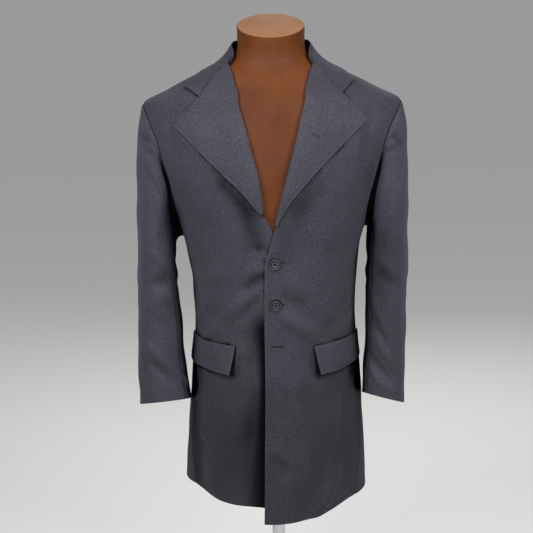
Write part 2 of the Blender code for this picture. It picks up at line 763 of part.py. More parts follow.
# ---------------------------------------------------------------- form and stand


def build_form(finish):
    angle = np.linspace(-pi, pi, FORM_COLUMNS + 1)[:-1]
    lower = np.linspace(FORM_BOTTOM, SHOULDER_HEIGHT - 0.008, FORM_BODY_ROWS)
    ring, _, _ = armhole_ring(np.linspace(pi, 0, UPPER_ROWS + 1), 1)
    plate_across, plate_heights = ring[:, 0], ring[:, 2]
    rings = []
    for height in np.concatenate([lower, FORM_TOP_HEIGHTS]):
        heights = np.full(len(angle), height)
        from_seam = np.abs(np.abs(angle) - pi / 2)
        seated = ease(height, FORM_SEATED_FROM, FORM_SEATED_TO)
        yoke = mix(FORM_SEAT, FORM_YOKE_CLEAR, ease(from_seam, YOKE_FROM, YOKE_TO))
        clear = mix(FORM_CLEAR, yoke, seated)
        ring = body(angle, heights) - (WALL + clear)[:, None] * normals(body, angle, heights)
        if height < SHOULDER_HEIGHT:
            ring[:, 2] = height
        plate = follow(plate_heights, plate_across, height) - ARM_PLATE_GAP
        ring[:, 0] = np.clip(ring[:, 0], -plate, plate)
        rings.append(ring)
    for height, half, front, back in FORM_NECK_ROWS:
        depth = np.where(np.cos(angle) > 0, front, back)
        y = -depth * np.cos(angle)
        slope = NECK_TOP_SLOPE * (height == FORM_NECK_ROWS[-1][0])
        rings.append(np.stack([half * np.sin(angle), y, height + slope * y], axis=-1))
    count = len(angle)
    faces = [tuple(range(count)), tuple(range((len(rings) - 1) * count, len(rings) * count))]
    for r in range(len(rings) - 1):
        for c in range(count):
            after = (c + 1) % count
            faces.append(
                (r * count + c, r * count + after, (r + 1) * count + after, (r + 1) * count + c)
            )
    return add_object("form_torso", np.concatenate(rings), faces, finish)


def build_stand(finish):
    bottom, top = BASE_THICK + SEAM, FORM_BOTTOM - SEAM
    bpy.ops.mesh.primitive_cylinder_add(
        vertices=24, radius=POLE_RADIUS, depth=top - bottom, location=(0, 0, (top + bottom) / 2)
    )
    bpy.context.object.name = "stand_pole"
    bpy.ops.mesh.primitive_cylinder_add(
        vertices=48, radius=BASE_RADIUS, depth=BASE_THICK, location=(0, 0, BASE_THICK / 2)
    )
    bpy.context.object.name = "stand_base"
    bevel = bpy.context.object.modifiers.new("Round", "BEVEL")
    bevel.width = 0.003
    bevel.segments = 2
    for name in ("stand_pole", "stand_base"):
        made = bpy.data.objects[name]
        made.data.shade_smooth()
        made.data.set_sharp_from_angle(angle=radians(40))
        made.data.materials.append(finish)
        for holder in list(made.users_collection):
            holder.objects.unlink(made)
        coat.objects.link(made)


def build_buttons(finish):
    half = BUTTON_THICK / 2
    profile = (
        (0.0, half - 0.0010),
        (BUTTON_RADIUS * 0.62, half - 0.0010),
        (BUTTON_RADIUS * 0.80, half),
        (BUTTON_RADIUS * 0.94, half - 0.0002),
        (BUTTON_RADIUS, half - 0.0012),
        (BUTTON_RADIUS * 0.93, -half + 0.0004),
        (BUTTON_RADIUS * 0.80, -half),
        (0.0, -half),
    )
    for name, height in BUTTON_HEIGHTS.items():
        surface = front_right if name == "button_lower" else front_left
        place = np.array(0.0), np.array(height)
        away = normals(surface, *place)
        button = turned(name, profile, 20, finish)
        button.location = surface(*place) + (half + BUTTON_SEAT) * away
        button.rotation_euler = Vector(away).to_track_quat("Z", "Y").to_euler()


# ---------------------------------------------------------------- the whole

for old in list(bpy.data.objects):
    bpy.data.objects.remove(old)
coat = bpy.data.collections.new("frock_coat")
bpy.context.scene.collection.children.link(coat)

worsted = material("worsted", (0.035, 0.034, 0.042), 0.85)
horn = material("horn", (0.02, 0.02, 0.024), 0.4)
form_skin = material("form_skin", (0.25, 0.11, 0.05), 0.4)
steel = material("steel", (0.55, 0.55, 0.56), 0.3, 1.0)

for side, name, front, back in ((1, "left", front_left, back_left), (-1, "right", front_right, body)):
    build_panel("front_" + name, side, True, front, worsted)
    build_panel("back_" + name, side, False, back, worsted)
    whole_turn = 2 * UPPER_ROWS
    upper, under = "sleeve_upper_" + name, "sleeve_under_" + name
    build_sleeve_piece(upper, side, BACK_SEAM_ROW - whole_turn, FRONT_SEAM_ROW, worsted)
    build_sleeve_piece(under, side, FRONT_SEAM_ROW, BACK_SEAM_ROW, worsted)
    build_flap("flap_" + name, side, front, worsted)

lapel_left = lapel_walls(1, front_left)
lapel_right = lapel_walls(-1, front_right)
wall("lapel_left", *lapel_left, worsted)
wall("lapel_right", *lapel_right, worsted)
collar_left = collar_rows(1, *lapel_left)
collar_right = collar_rows(-1, *lapel_right)
wall(
    "collar",
    *(
        np.concatenate([ahead, behind[-2::-1]])
        for ahead, behind in zip(collar_left, collar_right)
    ),
    worsted,
)
build_buttons(horn)
build_form(form_skin)
build_stand(steel)
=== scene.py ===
from math import pi, radians, sin, cos

import bmesh
import bpy
import numpy as np
from mathutils import Matrix, Vector
from mathutils.bvhtree import BVHTree


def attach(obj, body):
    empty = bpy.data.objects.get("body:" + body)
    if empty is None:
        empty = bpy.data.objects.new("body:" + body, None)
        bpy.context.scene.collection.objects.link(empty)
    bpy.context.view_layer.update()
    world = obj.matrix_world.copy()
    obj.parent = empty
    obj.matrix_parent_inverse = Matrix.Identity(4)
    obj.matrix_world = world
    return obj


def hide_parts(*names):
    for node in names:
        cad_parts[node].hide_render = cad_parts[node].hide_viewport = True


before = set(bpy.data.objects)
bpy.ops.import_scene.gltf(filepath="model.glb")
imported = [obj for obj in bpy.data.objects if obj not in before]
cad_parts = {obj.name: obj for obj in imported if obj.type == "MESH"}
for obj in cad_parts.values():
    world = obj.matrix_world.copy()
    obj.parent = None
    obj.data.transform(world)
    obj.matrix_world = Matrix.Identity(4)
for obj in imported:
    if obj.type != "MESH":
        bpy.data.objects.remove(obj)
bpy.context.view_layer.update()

cloth = {
    "wall": 0.0022,          # thickness of the cloth
    "seam": 0.0003,          # gap between two pieces
    "neckSeam": 0.00045,
    "turnedEdge": 0.0016,    # how far a folded edge rounds over
    "turnedDepth": 0.0008,
    "seamReach": 0.0028,     # how far the cloth dips beside a seam
    "seamDepth": 0.0007,
    "stitchIn": 0.0055,      # topstitching, from the edge
    "stitchReach": 0.0013,
    "stitchDepth": 0.0005,
    "cornerClear": 0.005,    # how near an end of the edge it stops
    "rubReach": 0.0030,      # how far wear reaches in from an edge
    "armGap": 0.0011,        # how far the painted shade of a seam reaches: armhole, side and collar
    "sideGap": 0.0006,
    "gorgeGap": 0.0007,
    "step": 1e-4,
}


# curves and tables

def follow(xs, ys, x):
    # smooth curve through the points (xs, ys) that never swings past them
    xs, ys = np.asarray(xs, float), np.asarray(ys, float)
    step = np.diff(xs)
    slope = np.diff(ys) / step
    tangent = np.zeros(len(xs))
    tangent[0], tangent[-1] = slope[0], slope[-1]
    for i in range(1, len(xs) - 1):
        before, after = slope[i - 1], slope[i]
        if before * after > 0:
            tangent[i] = 2 * before * after / (before + after)
    x = np.clip(x, xs[0], xs[-1])
    i = np.clip(np.searchsorted(xs, x, side="right") - 1, 0, len(step) - 1)
    t = (x - xs[i]) / step[i]
    rise = ys[i + 1] - ys[i]
    bend = t * (1 - t) * step[i]
    return ys[i] + rise * t * t * (3 - 2 * t) + bend * ((1 - t) * tangent[i] - t * tangent[i + 1])


def column(rows, number, x):
    rows = sorted(rows)
    return follow([row[0] for row in rows], [row[number] for row in rows], x)


def ease(x, start, end):
    t = np.clip((x - start) / (end - start), 0, 1)
    return t * t * (3 - 2 * t)


def between(x, start, full, waning, end):
    return ease(x, start, full) * (1 - ease(x, waning, end))


def mix(a, b, t):
    return a + (b - a) * t


def along(points, t):
    points = np.asarray(points, float)
    length = np.concatenate([[0], np.cumsum(np.linalg.norm(np.diff(points, axis=0), axis=1))])
    return np.stack([follow(length, axis, t * length[-1]) for axis in points.T], axis=-1)


def unit(vectors):
    return vectors / np.maximum(np.linalg.norm(vectors, axis=-1, keepdims=True), 1e-12)


def crowd(count, near, far, tight=0.0045):
    # fractions from 0 to 1, with near and far narrow steps at the two ends
    start = np.arange(near) * tight
    end = 1 - np.arange(far)[::-1] * tight
    middle = np.linspace(near * tight, 1 - far * tight, count)
    return np.concatenate([start, middle, end])


# the worn shape

worn = {
    "hem": 0.420,
    "foldsFull": 0.430,
    "armpit": {1: 0.955, -1: 0.942},
    "shoulder": 1.198,
    "neck": 1.276,
    # height, half width on the right and on the left, depth in front and behind, middle, fullness
    "rows": (
        (0.420, 0.186, 0.177, 0.148, 0.140, 0.034, -0.010),
        (0.520, 0.179, 0.173, 0.144, 0.135, 0.024, -0.006),
        (0.610, 0.170, 0.167, 0.139, 0.128, 0.014, -0.002),
        (0.700, 0.162, 0.161, 0.135, 0.118, 0.007, 0.001),
        (0.760, 0.157, 0.1545, 0.134, 0.107, 0.003, 0.003),
        (0.800, 0.1555, 0.153, 0.137, 0.098, 0.0, 0.003),
        (0.860, 0.156, 0.156, 0.142, 0.096, 0.0, 0.003),
        (0.917, 0.1675, 0.162, 0.144, 0.104, 0.0, 0.003),
        (0.980, 0.180, 0.180, 0.142, 0.115, 0.0, 0.003),
        (1.020, 0.197, 0.197, 0.140, 0.121, 0.0, 0.003),
        (1.055, 0.214, 0.214, 0.138, 0.125, 0.0, 0.003),
        (1.090, 0.2287, 0.2287, 0.135, 0.127, 0.0, 0.002),
        (1.130, 0.2384, 0.2384, 0.130, 0.127, 0.0, 0.001),
        (1.165, 0.2430, 0.2430, 0.1225, 0.123, 0.0, 0.0),
        (1.185, 0.2432, 0.2432, 0.116, 0.119, 0.0, 0.0),
        (1.198, 0.2405, 0.2405, 0.111, 0.115, 0.0, 0.0),
        (1.2225, 0.196, 0.196, 0.097, 0.106, 0.0, 0.0),
        (1.247, 0.148, 0.148, 0.084, 0.095, 0.0, 0.0),
        (1.263, 0.109, 0.109, 0.076, 0.085, 0.0, 0.0),
        (1.276, 0.082, 0.082, 0.071, 0.077, 0.0, 0.0),
    ),
    # angle and width in degrees, start height, how far out at the hem
    "skirtFolds": (
        (24.0, 9.0, 0.70, 0.006),
        (56.0, 17.0, 0.72, -0.011),
        (-40.0, 12.0, 0.72, 0.005),
        (-62.0, 14.0, 0.70, -0.006),
        (128.0, 12.0, 0.70, 0.006),
        (146.0, 12.0, 0.66, -0.005),
        (-124.0, 13.0, 0.68, 0.007),
        (-145.0, 12.0, 0.70, -0.005),
    ),
    "armholeFront": {1: 0.0710, -1: 0.0655},
    # how much of that it gives up towards the armpit, and between which turns
    "armholeFall": {1: 0.0, -1: 0.80},
    "fallTurns": (1.55, 2.75),
    "armholeBack": 0.0590,
}


def halfWidth(height, across):
    return np.where(across >= 0, column(worn["rows"], 2, height), column(worn["rows"], 1, height))


def skirtFolds(angle, height):
    out = 0
    for middle, width, top, depth in worn["skirtFolds"]:
        turn = (angle - radians(middle) + pi) % (2 * pi) - pi
        out = out + depth * np.exp(-((turn / radians(width)) ** 2)) * ease(-height, -top, -worn["foldsFull"])
    return out


def plainBody(angle, height):
    front, back, middle, fullness = (column(worn["rows"], number, height) for number in (3, 4, 5, 6))
    across = halfWidth(height, np.sin(angle)) * np.sin(angle)
    depth = np.where(np.cos(angle) > 0, front + middle, back - middle)
    out = fullness * np.sin(2 * angle) ** 2 + skirtFolds(angle, height)
    return np.stack(
        [across + out * np.sin(angle), middle - depth * np.cos(angle) - out * np.cos(angle), height + 0 * angle],
        axis=-1,
    )


def normals(surface, u, v):
    step = cloth["step"]
    across = surface(u + step, v) - surface(u - step, v)
    return unit(np.cross(across, surface(u, v + step) - surface(u, v - step)))


def gridNormals(points):
    return unit(np.cross(np.gradient(points, axis=1), np.gradient(points, axis=0)))


# creases of the worn cloth: where each starts and ends (angle in degrees, height), how far it
# bows, half its breadth, and how far it stands out (+) or sinks (-)

drape = {
    "creases": (
        (-26, 1.072, -19, 1.046, 0.002, 0.012, -0.0060),
        (-17, 1.034, -10, 1.000, -0.003, 0.012, -0.0062),
        (-24, 1.052, -12, 1.000, -0.002, 0.013, -0.0030),
        (-22, 0.862, -7, 0.888, 0.004, 0.009, -0.0040),
        (-22, 0.885, -8, 0.907, 0.003, 0.009, 0.0008),
        (-14, 0.940, -6, 0.943, 0.0, 0.008, -0.0034),
        (-9, 0.868, -40, 0.789, -0.006, 0.013, 0.0040),
        (-40, 0.787, -62, 0.764, 0.004, 0.010, 0.0026),
        (-12, 0.850, -24, 0.790, -0.004, 0.012, -0.0018),
        (-60, 0.806, -40, 0.812, 0.004, 0.010, -0.0026),
        (-67, 0.838, -56, 0.776, -0.006, 0.011, -0.0020),
        (-74, 0.842, -62, 0.772, -0.005, 0.012, 0.0020),
        (-30, 0.905, -62, 0.868, 0.004, 0.016, 0.0016),
        (-34, 0.885, -64, 0.852, 0.004, 0.013, -0.0014),
        (54, 0.838, 44, 0.796, 0.006, 0.011, -0.0030),
        (68, 0.812, 53, 0.772, 0.006, 0.010, 0.0030),
        (47, 0.842, 37, 0.804, 0.004, 0.012, 0.0016),
        (3, 0.819, 27, 0.762, 0.005, 0.013, 0.0044),
        (6, 0.838, 30, 0.790, 0.004, 0.012, -0.0016),
        (6, 0.896, 24, 0.850, -0.004, 0.018, 0.0022),
        (3, 0.858, 20, 0.832, -0.003, 0.010, -0.0018),
        (20, 1.068, 7, 1.002, -0.002, 0.012, -0.0050),
        (17, 1.040, 16, 0.985, 0.0, 0.012, -0.0020),
        (-50, 1.176, -52, 1.108, 0.003, 0.009, -0.0030),
        (-44, 1.170, -47, 1.115, 0.003, 0.010, 0.0016),
        (48, 1.188, 47, 1.080, -0.004, 0.011, -0.0032),
        (41, 1.170, 41, 1.100, -0.004, 0.011, 0.0018),
        (-6, 0.567, 8, 0.530, 0.004, 0.012, 0.0032),
        (-2, 0.545, 10, 0.512, 0.004, 0.012, -0.0016),
        (33, 0.570, 27, 0.470, 0.005, 0.014, -0.0046),
        (44, 0.512, 25, 0.432, 0.004, 0.012, 0.0048),
        (39, 0.640, 37, 0.560, 0.003, 0.014, 0.0020),
        (25, 0.600, 24, 0.490, 0.002, 0.009, -0.0022),
        (19, 0.620, 18, 0.480, 0.002, 0.011, 0.0018),
        (16, 0.742, 17, 0.650, 0.003, 0.013, 0.0022),
        (51, 0.700, 50, 0.600, 0.002, 0.013, -0.0028),
        (-62, 0.585, -37, 0.508, 0.006, 0.014, 0.0030),
        (-58, 0.560, -34, 0.490, 0.006, 0.012, -0.0022),
        (-30, 0.690, -26, 0.560, 0.004, 0.015, -0.0020),
        (-45, 0.680, -47, 0.600, 0.003, 0.014, 0.0024),
        # behind: the hollow of the waist, the blades and the skirt
        (176, 0.905, 140, 0.862, 0.006, 0.013, 0.0028),
        (178, 0.880, 144, 0.838, 0.006, 0.011, -0.0028),
        (-177, 0.898, -138, 0.866, -0.005, 0.013, 0.0026),
        (-178, 0.872, -146, 0.840, -0.006, 0.012, -0.0030),
        (150, 0.980, 118, 0.940, 0.005, 0.016, 0.0024),
        (148, 0.962, 116, 0.920, 0.004, 0.013, -0.0026),
        (-151, 0.985, -117, 0.930, -0.006, 0.016, 0.0026),
        (-146, 0.966, -118, 0.912, -0.005, 0.013, -0.0022),
        (131, 1.150, 134, 1.050, 0.004, 0.013, -0.0034),
        (-132, 1.155, -136, 1.060, -0.004, 0.013, -0.0034),
        (138, 1.140, 141, 1.060, 0.004, 0.014, 0.0020),
        (-140, 1.140, -143, 1.055, -0.004, 0.014, 0.0022),
        (160, 1.232, 150, 1.196, 0.003, 0.014, -0.0018),
        (-161, 1.230, -149, 1.198, -0.003, 0.014, -0.0020),
        (163, 0.690, 158, 0.560, 0.004, 0.014, 0.0030),
        (-165, 0.700, -158, 0.550, -0.004, 0.015, 0.0034),
        (151, 0.620, 146, 0.480, 0.003, 0.013, -0.0034),
        (-149, 0.640, -142, 0.470, -0.004, 0.013, -0.0032),
        (112, 0.660, 116, 0.520, -0.003, 0.014, 0.0030),
        (-110, 0.650, -114, 0.500, 0.003, 0.014, 0.0032),
        (97, 0.830, 112, 0.780, 0.004, 0.012, -0.0024),
        (-98, 0.836, -113, 0.784, -0.004, 0.012, -0.0024),
    ),
    "reach": 0.17,      # body radius that turns angles into lengths
    "wave": 0.0013,     # slow unevenness of the cloth
    "strength": 1.6,    # multiplies every crease
    "deepest": 0.0066,  # the form is this near behind the cloth
}


def deepened(field):
    # creases at full strength, where the troughs stop short of what is behind them
    field = drape["strength"] * field
    return np.where(field < 0, -drape["deepest"] * np.tanh(-field / drape["deepest"]), field)


def creaseField(across, up, creases, steps=14):
    out = np.zeros(np.broadcast(across, up).shape)
    for x0, y0, x1, y1, bow, breadth, depth in creases:
        length = np.hypot(x1 - x0, y1 - y0)
        reach = 3 * breadth + length
        near = (np.abs(across - (x0 + x1) / 2) < reach) & (np.abs(up - (y0 + y1) / 2) < reach)
        if not near.any():
            continue
        x, y = np.broadcast_to(across, out.shape)[near], np.broadcast_to(up, out.shape)[near]
        best = np.full(x.shape, np.inf)
        where = np.zeros(x.shape)
        ends = np.linspace(0, 1, steps + 1)
        lineX = x0 + (x1 - x0) * ends - (y1 - y0) / length * bow * 4 * ends * (1 - ends)
        lineY = y0 + (y1 - y0) * ends + (x1 - x0) / length * bow * 4 * ends * (1 - ends)
        for i in range(steps):
            dx, dy = lineX[i + 1] - lineX[i], lineY[i + 1] - lineY[i]
            t = np.clip(((x - lineX[i]) * dx + (y - lineY[i]) * dy) / (dx * dx + dy * dy), 0, 1)
            far = (x - lineX[i] - t * dx) ** 2 + (y - lineY[i] - t * dy) ** 2
            closer = far < best
            best = np.where(closer, far, best)
            where = np.where(closer, (i + t) / steps, where)
        taper = np.sqrt(np.clip(np.sin(pi * np.clip(where, 0.02, 0.98)), 0, 1))
        out[near] += depth * np.exp(-best / breadth**2) * taper
    return out


def waves(across, up, seed):
    rng = np.random.default_rng(seed)
    out = 0
    for size, amount in ((0.16, 1.0), (0.11, 0.7), (0.075, 0.5), (0.05, 0.3)):
        for _ in range(3):
            turn, start = rng.uniform(0, 2 * pi, 2)
            out = out + amount / 3 * np.sin(2 * pi / size * (across * cos(turn) + up * sin(turn)) + start)
    return out


bodyCreases = [
    (radians(a0) * drape["reach"], h0, radians(a1) * drape["reach"], h1, bow, breadth, depth)
    for a0, h0, a1, h1, bow, breadth, depth in drape["creases"]
]


def drapeField(angle, height):
    turn = (angle + pi) % (2 * pi) - pi
    across = turn * drape["reach"]
    calm = ease(np.abs(np.abs(turn) - pi), 0.0, 0.25) * (1 - 0.8 * ease(height, 1.15, 1.22))
    return deepened(creaseField(across, height, bodyCreases)) + drape["wave"] * calm * waves(across, height, 5)


laps = {
    "fastened": 0.0032, "free": 0.0066, "freeFrom": 0.835, "freeTo": 0.775,
    "from": 0.028, "to": 0.060, "topFrom": 1.02, "topTo": 1.08,
    "swingOver": 0.004, "swingUnder": 0.020, "swingFrom": 0.024, "swingTo": 0.095, "swingTop": 0.78,
    "ventTop": 0.7365, "ventStart": 0.040, "ventSpread": 0.030, "vent": 0.0042, "ventFrom": 0.030,
    "ventTo": 0.060, "ventUnder": 0.026,
}


def swing(across, height):
    return (1 - ease(across, laps["swingFrom"], laps["swingTo"])) * ease(-height, -laps["swingTop"], -worn["hem"])


def plainFrontLeft(angle, height):
    points = plainBody(angle, height)
    near = 1 - ease(points[..., 0], laps["from"], laps["to"])
    lap = mix(laps["fastened"], laps["free"], ease(-height, -laps["freeFrom"], -laps["freeTo"]))
    away = lap * near * (1 - ease(height, laps["topFrom"], laps["topTo"]))
    points[..., 1] -= away + laps["swingOver"] * swing(points[..., 0], height)
    return points


def plainFrontRight(angle, height):
    points = plainBody(angle, height)
    points[..., 1] += laps["swingUnder"] * swing(-points[..., 0], height)
    return points


def plainBackLeft(angle, height):
    points = plainBody(angle, height)
    near = 1 - ease(points[..., 0], laps["ventFrom"], laps["ventTo"])
    points[..., 1] += laps["vent"] * near * ease(-height, -laps["ventTop"] - laps["ventStart"], -laps["ventTop"])
    return points


def draped(surface):
    # the same surface with its creases
    def creased(angle, height):
        angle, height = np.broadcast_arrays(np.asarray(angle, float), np.asarray(height, float))
        return surface(angle, height) + drapeField(angle, height)[..., None] * normals(surface, angle, height)
    return creased


body = draped(plainBody)
frontLeft, frontRight, backLeft = draped(plainFrontLeft), draped(plainFrontRight), draped(plainBackLeft)


# making the cloth's pieces

finePieces = {"lowerRows": 146, "upperRows": 88, "rollRows": 64, "backRows": 48, "columns": 58}
stitchLines = []     # (name, points) that topstitching follows
clothPieces = {}
gridShapes = {}
seamGaps = {}        # piece: distance from its seams, in breadths of their shade
shades = {}          # piece: shade set, 0 to 1


def edgeDistances(points):
    # distance of each point from the first and last column and from the first and last row
    across = np.linalg.norm(np.diff(points, axis=1), axis=-1)
    across = np.concatenate([np.zeros((len(points), 1)), np.cumsum(across, axis=1)], axis=1)
    up = np.linalg.norm(np.diff(points, axis=0), axis=-1)
    up = np.concatenate([np.zeros((1, points.shape[1])), np.cumsum(up, axis=0)])
    return across, across[:, -1:] - across, up, up[-1:] - up


def turnedEdge(distance):
    return -cloth["turnedDepth"] * np.clip(1 - distance / cloth["turnedEdge"], 0, 1) ** 2


def seamDip(distance):
    return -cloth["seamDepth"] * np.exp(-((distance / cloth["seamReach"]) ** 2))


def stitchDip(distance):
    return -cloth["stitchDepth"] * np.exp(-(((distance - cloth["stitchIn"]) / cloth["stitchReach"]) ** 2))


def pathAt(points, distances, target):
    # the line on a grid of points that lies this far from its edge, row by row
    path = []
    for row, far in zip(points, distances):
        order = np.argsort(far)
        if far.max() > target:
            path.append([np.interp(target, far[order], axis[order]) for axis in row.T])
    return np.array(path)


def rubbed(*distances):
    return np.exp(-np.minimum.reduce(distances) / cloth["rubReach"])


def makeShell(name, node, outer, inner, across, up, rub, gap):
    rows, columns = outer.shape[:2]
    index = np.arange(rows * columns).reshape(rows, columns)
    quads = np.stack([index[:-1, :-1], index[:-1, 1:], index[1:, 1:], index[1:, :-1]], axis=-1).reshape(-1, 4)
    rim = np.concatenate([index[0, :-1], index[:-1, -1], index[-1, :0:-1], index[:0:-1, 0]])
    after = np.roll(rim, -1)
    layer = rows * columns
    faces = np.concatenate([
        quads, quads[:, ::-1] + layer, np.stack([after, rim, rim + layer, after + layer], axis=-1)
    ])
    mesh = bpy.data.meshes.new(name)
    mesh.from_pydata(np.concatenate([outer.reshape(-1, 3), inner.reshape(-1, 3)]), [], faces.tolist())
    shape = bmesh.new()
    shape.from_mesh(mesh)
    if shape.calc_volume(signed=True) < 0:
        bmesh.ops.reverse_faces(shape, faces=shape.faces)
    shape.to_mesh(mesh)
    shape.free()
    wear = mesh.attributes.new("rub", "FLOAT", "POINT")
    wear.data.foreach_set("value", np.tile(np.broadcast_to(rub, outer.shape[:2]).ravel(), 2).astype(np.float32))
    cut = mesh.uv_layers.new(name="cut")
    places = np.tile(np.stack([across.ravel(), up.ravel()], axis=-1), (2, 1))
    corners = np.empty(len(mesh.loops), np.int32)
    mesh.loops.foreach_get("vertex_index", corners)
    cut.data.foreach_set("uv", places[corners].astype(np.float32).ravel())
    mesh.shade_smooth()
    mesh.set_sharp_from_angle(angle=radians(55))
    piece = bpy.data.objects.new(name, mesh)
    bpy.context.scene.collection.objects.link(piece)
    clothPieces[name] = piece
    gridShapes[name] = outer.shape[:2]
    seamGaps[name] = np.broadcast_to(gap, outer.shape[:2])
    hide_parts(node)
    return piece


# fronts and backs

panels = {
    1: {
        "edge": (
            (0.420, -0.0277), (0.563, -0.0240), (0.696, -0.0215), (0.821, -0.0210), (0.907, -0.0190),
            (0.925, -0.0160), (0.942, -0.0100), (0.958, -0.0050), (0.983, 0.0037),
        ),
        "roll": (
            (0.983, 0.0037), (1.056, 0.0225), (1.136, 0.0440), (1.196, 0.0592), (1.220, 0.0622),
            (1.240, 0.0676), (1.252, 0.0710), (1.268, 0.0765),
        ),
        "lapel": (
            (0.0037, 0.979), (0.019, 1.012), (0.047, 1.047), (0.0835, 1.084), (0.1205, 1.120), (0.170, 1.167),
        ),
        "gorge": ((0.0765, 1.268), (0.0885, 1.261), (0.102, 1.241), (0.127, 1.214)),
        "flap": ((0.068, 0.7565), (0.1535, 0.761), (0.0775, 0.701), (0.1585, 0.7125)),
        "collarTip": (0.150, 1.234),
        "hem": (0.420, 0.427, 0.437),
    },
    -1: {
        "edge": (
            (0.430, -0.0200), (0.700, -0.0210), (0.880, -0.0220), (0.940, -0.0120), (0.965, -0.0020),
            (0.985, 0.0100), (1.005, 0.0219),
        ),
        "roll": (
            (1.005, 0.0219), (1.057, 0.0276), (1.119, 0.0424), (1.181, 0.0584), (1.211, 0.0638),
            (1.234, 0.0692), (1.246, 0.0722), (1.257, 0.0756), (1.268, 0.0798),
        ),
        "lapel": (
            (0.0219, 1.001), (0.0415, 1.026), (0.061, 1.048), (0.103, 1.087), (0.140, 1.124), (0.177, 1.1605),
        ),
        "gorge": ((0.0798, 1.268), (0.0940, 1.259), (0.1125, 1.238), (0.132, 1.2105)),
        "flap": ((0.074, 0.7575), (0.1550, 0.7635), (0.082, 0.703), (0.1600, 0.710)),
        "collarTip": (0.159, 1.227),
        "hem": (0.4365, 0.457, 0.446),
    },
}
sideSeam = ((0.420, 67.0), (0.600, 76.0), (0.700, 84.0), (0.760, 86.0), (0.980, 90.0))


def angleOn(across, height, side):
    return np.arcsin(np.clip(across / halfWidth(height, side * across), -1, 1))


def armhole(turn, side):
    # turn is 0 at the shoulder, pi at the armpit, and past pi behind
    height = mix(worn["armpit"][side], worn["shoulder"], (1 + np.cos(turn)) / 2)
    ahead = worn["armholeFront"][side] / column(worn["rows"], 3, height)
    ahead = ahead * (1 - worn["armholeFall"][side] * ease(turn, *worn["fallTurns"]))
    behind = worn["armholeBack"] / column(worn["rows"], 4, height)
    return side * np.arccos(np.sin(turn) * np.where(np.sin(turn) >= 0, ahead, behind)), height


def neckLimit(side, angles, heights, fractions):
    places = plainBody(side * np.asarray(angles), np.asarray(heights))
    length = np.concatenate([[0], np.cumsum(np.linalg.norm(np.diff(places, axis=0), axis=1))])
    return follow(length, angles, fractions * length[-1]), follow(length, heights, fractions * length[-1])


def upperInner(side, front):
    if front:
        heights = [row[0] for row in panels[side]["roll"]]
        angles = [float(angleOn(row[1], row[0], side)) for row in panels[side]["roll"]]
        first = finePieces["rollRows"]
    else:
        heights, angles = [worn["armpit"][side], worn["neck"]], [pi, pi]
        first = finePieces["backRows"]
    angle, height = neckLimit(side, angles, heights, np.linspace(0, 1, first + 1))
    rest = np.linspace(0, 1, finePieces["upperRows"] - first + 1)[1:]
    return (
        np.concatenate([angle, mix(angles[-1], pi / 2, rest)]),
        np.concatenate([height, mix(heights[-1], worn["neck"], ease(rest, 0, 1))]),
    )


def panelGrid(side, front):
    shape = panels[side]
    hemInner, hemSide, hemBack = shape["hem"]
    up = crowd(finePieces["lowerRows"], 3, 1, 0.0016)
    innerTop = shape["roll"][0][0] if front else worn["armpit"][side]
    innerHeight = mix(hemInner if front else hemBack, innerTop, up)
    outerHeight = mix(hemSide, worn["armpit"][side], up)
    if front:
        innerAngle = angleOn(column(shape["edge"], 1, innerHeight), innerHeight, side)
    else:
        innerAngle = np.full(len(up), pi)
    outerAngle = radians(1) * column(sideSeam, 1, outerHeight)
    neckAngle, neckHeight = upperInner(side, front)
    turn = np.linspace(pi, 0 if front else 2 * pi, finePieces["upperRows"] + 1)[1:]
    sleeveAngle, sleeveHeight = armhole(turn, side)
    sleeveAngle = side * sleeveAngle
    innerAngle = np.concatenate([innerAngle, neckAngle[1:]])
    innerHeight = np.concatenate([innerHeight, neckHeight[1:]])
    outerAngle = np.concatenate([outerAngle, sleeveAngle])
    outerHeight = np.concatenate([outerHeight, sleeveHeight])
    across = crowd(finePieces["columns"], 10, 4)
    angle = mix(innerAngle[:, None], outerAngle[:, None], across)
    return side * angle, mix(innerHeight[:, None], outerHeight[:, None], across), len(up)


def seamBack(angle, height, side, front, lower):
    # half a seam's gap between this panel and the ones beside it
    places = plainBody(angle, height)
    perAngle = np.linalg.norm(plainBody(angle + cloth["step"], height) - places, axis=-1) / cloth["step"]
    halfGap = cloth["seam"] / 2 / perAngle
    towards = -side if front else side
    angle[:lower, -1] += towards * halfGap[:lower, -1]
    angle[-1, :] += towards * halfGap[-1, :]
    if not front:
        centre = lower + finePieces["backRows"]
        angle[:centre, 0] -= side * halfGap[:centre, 0]
    return angle


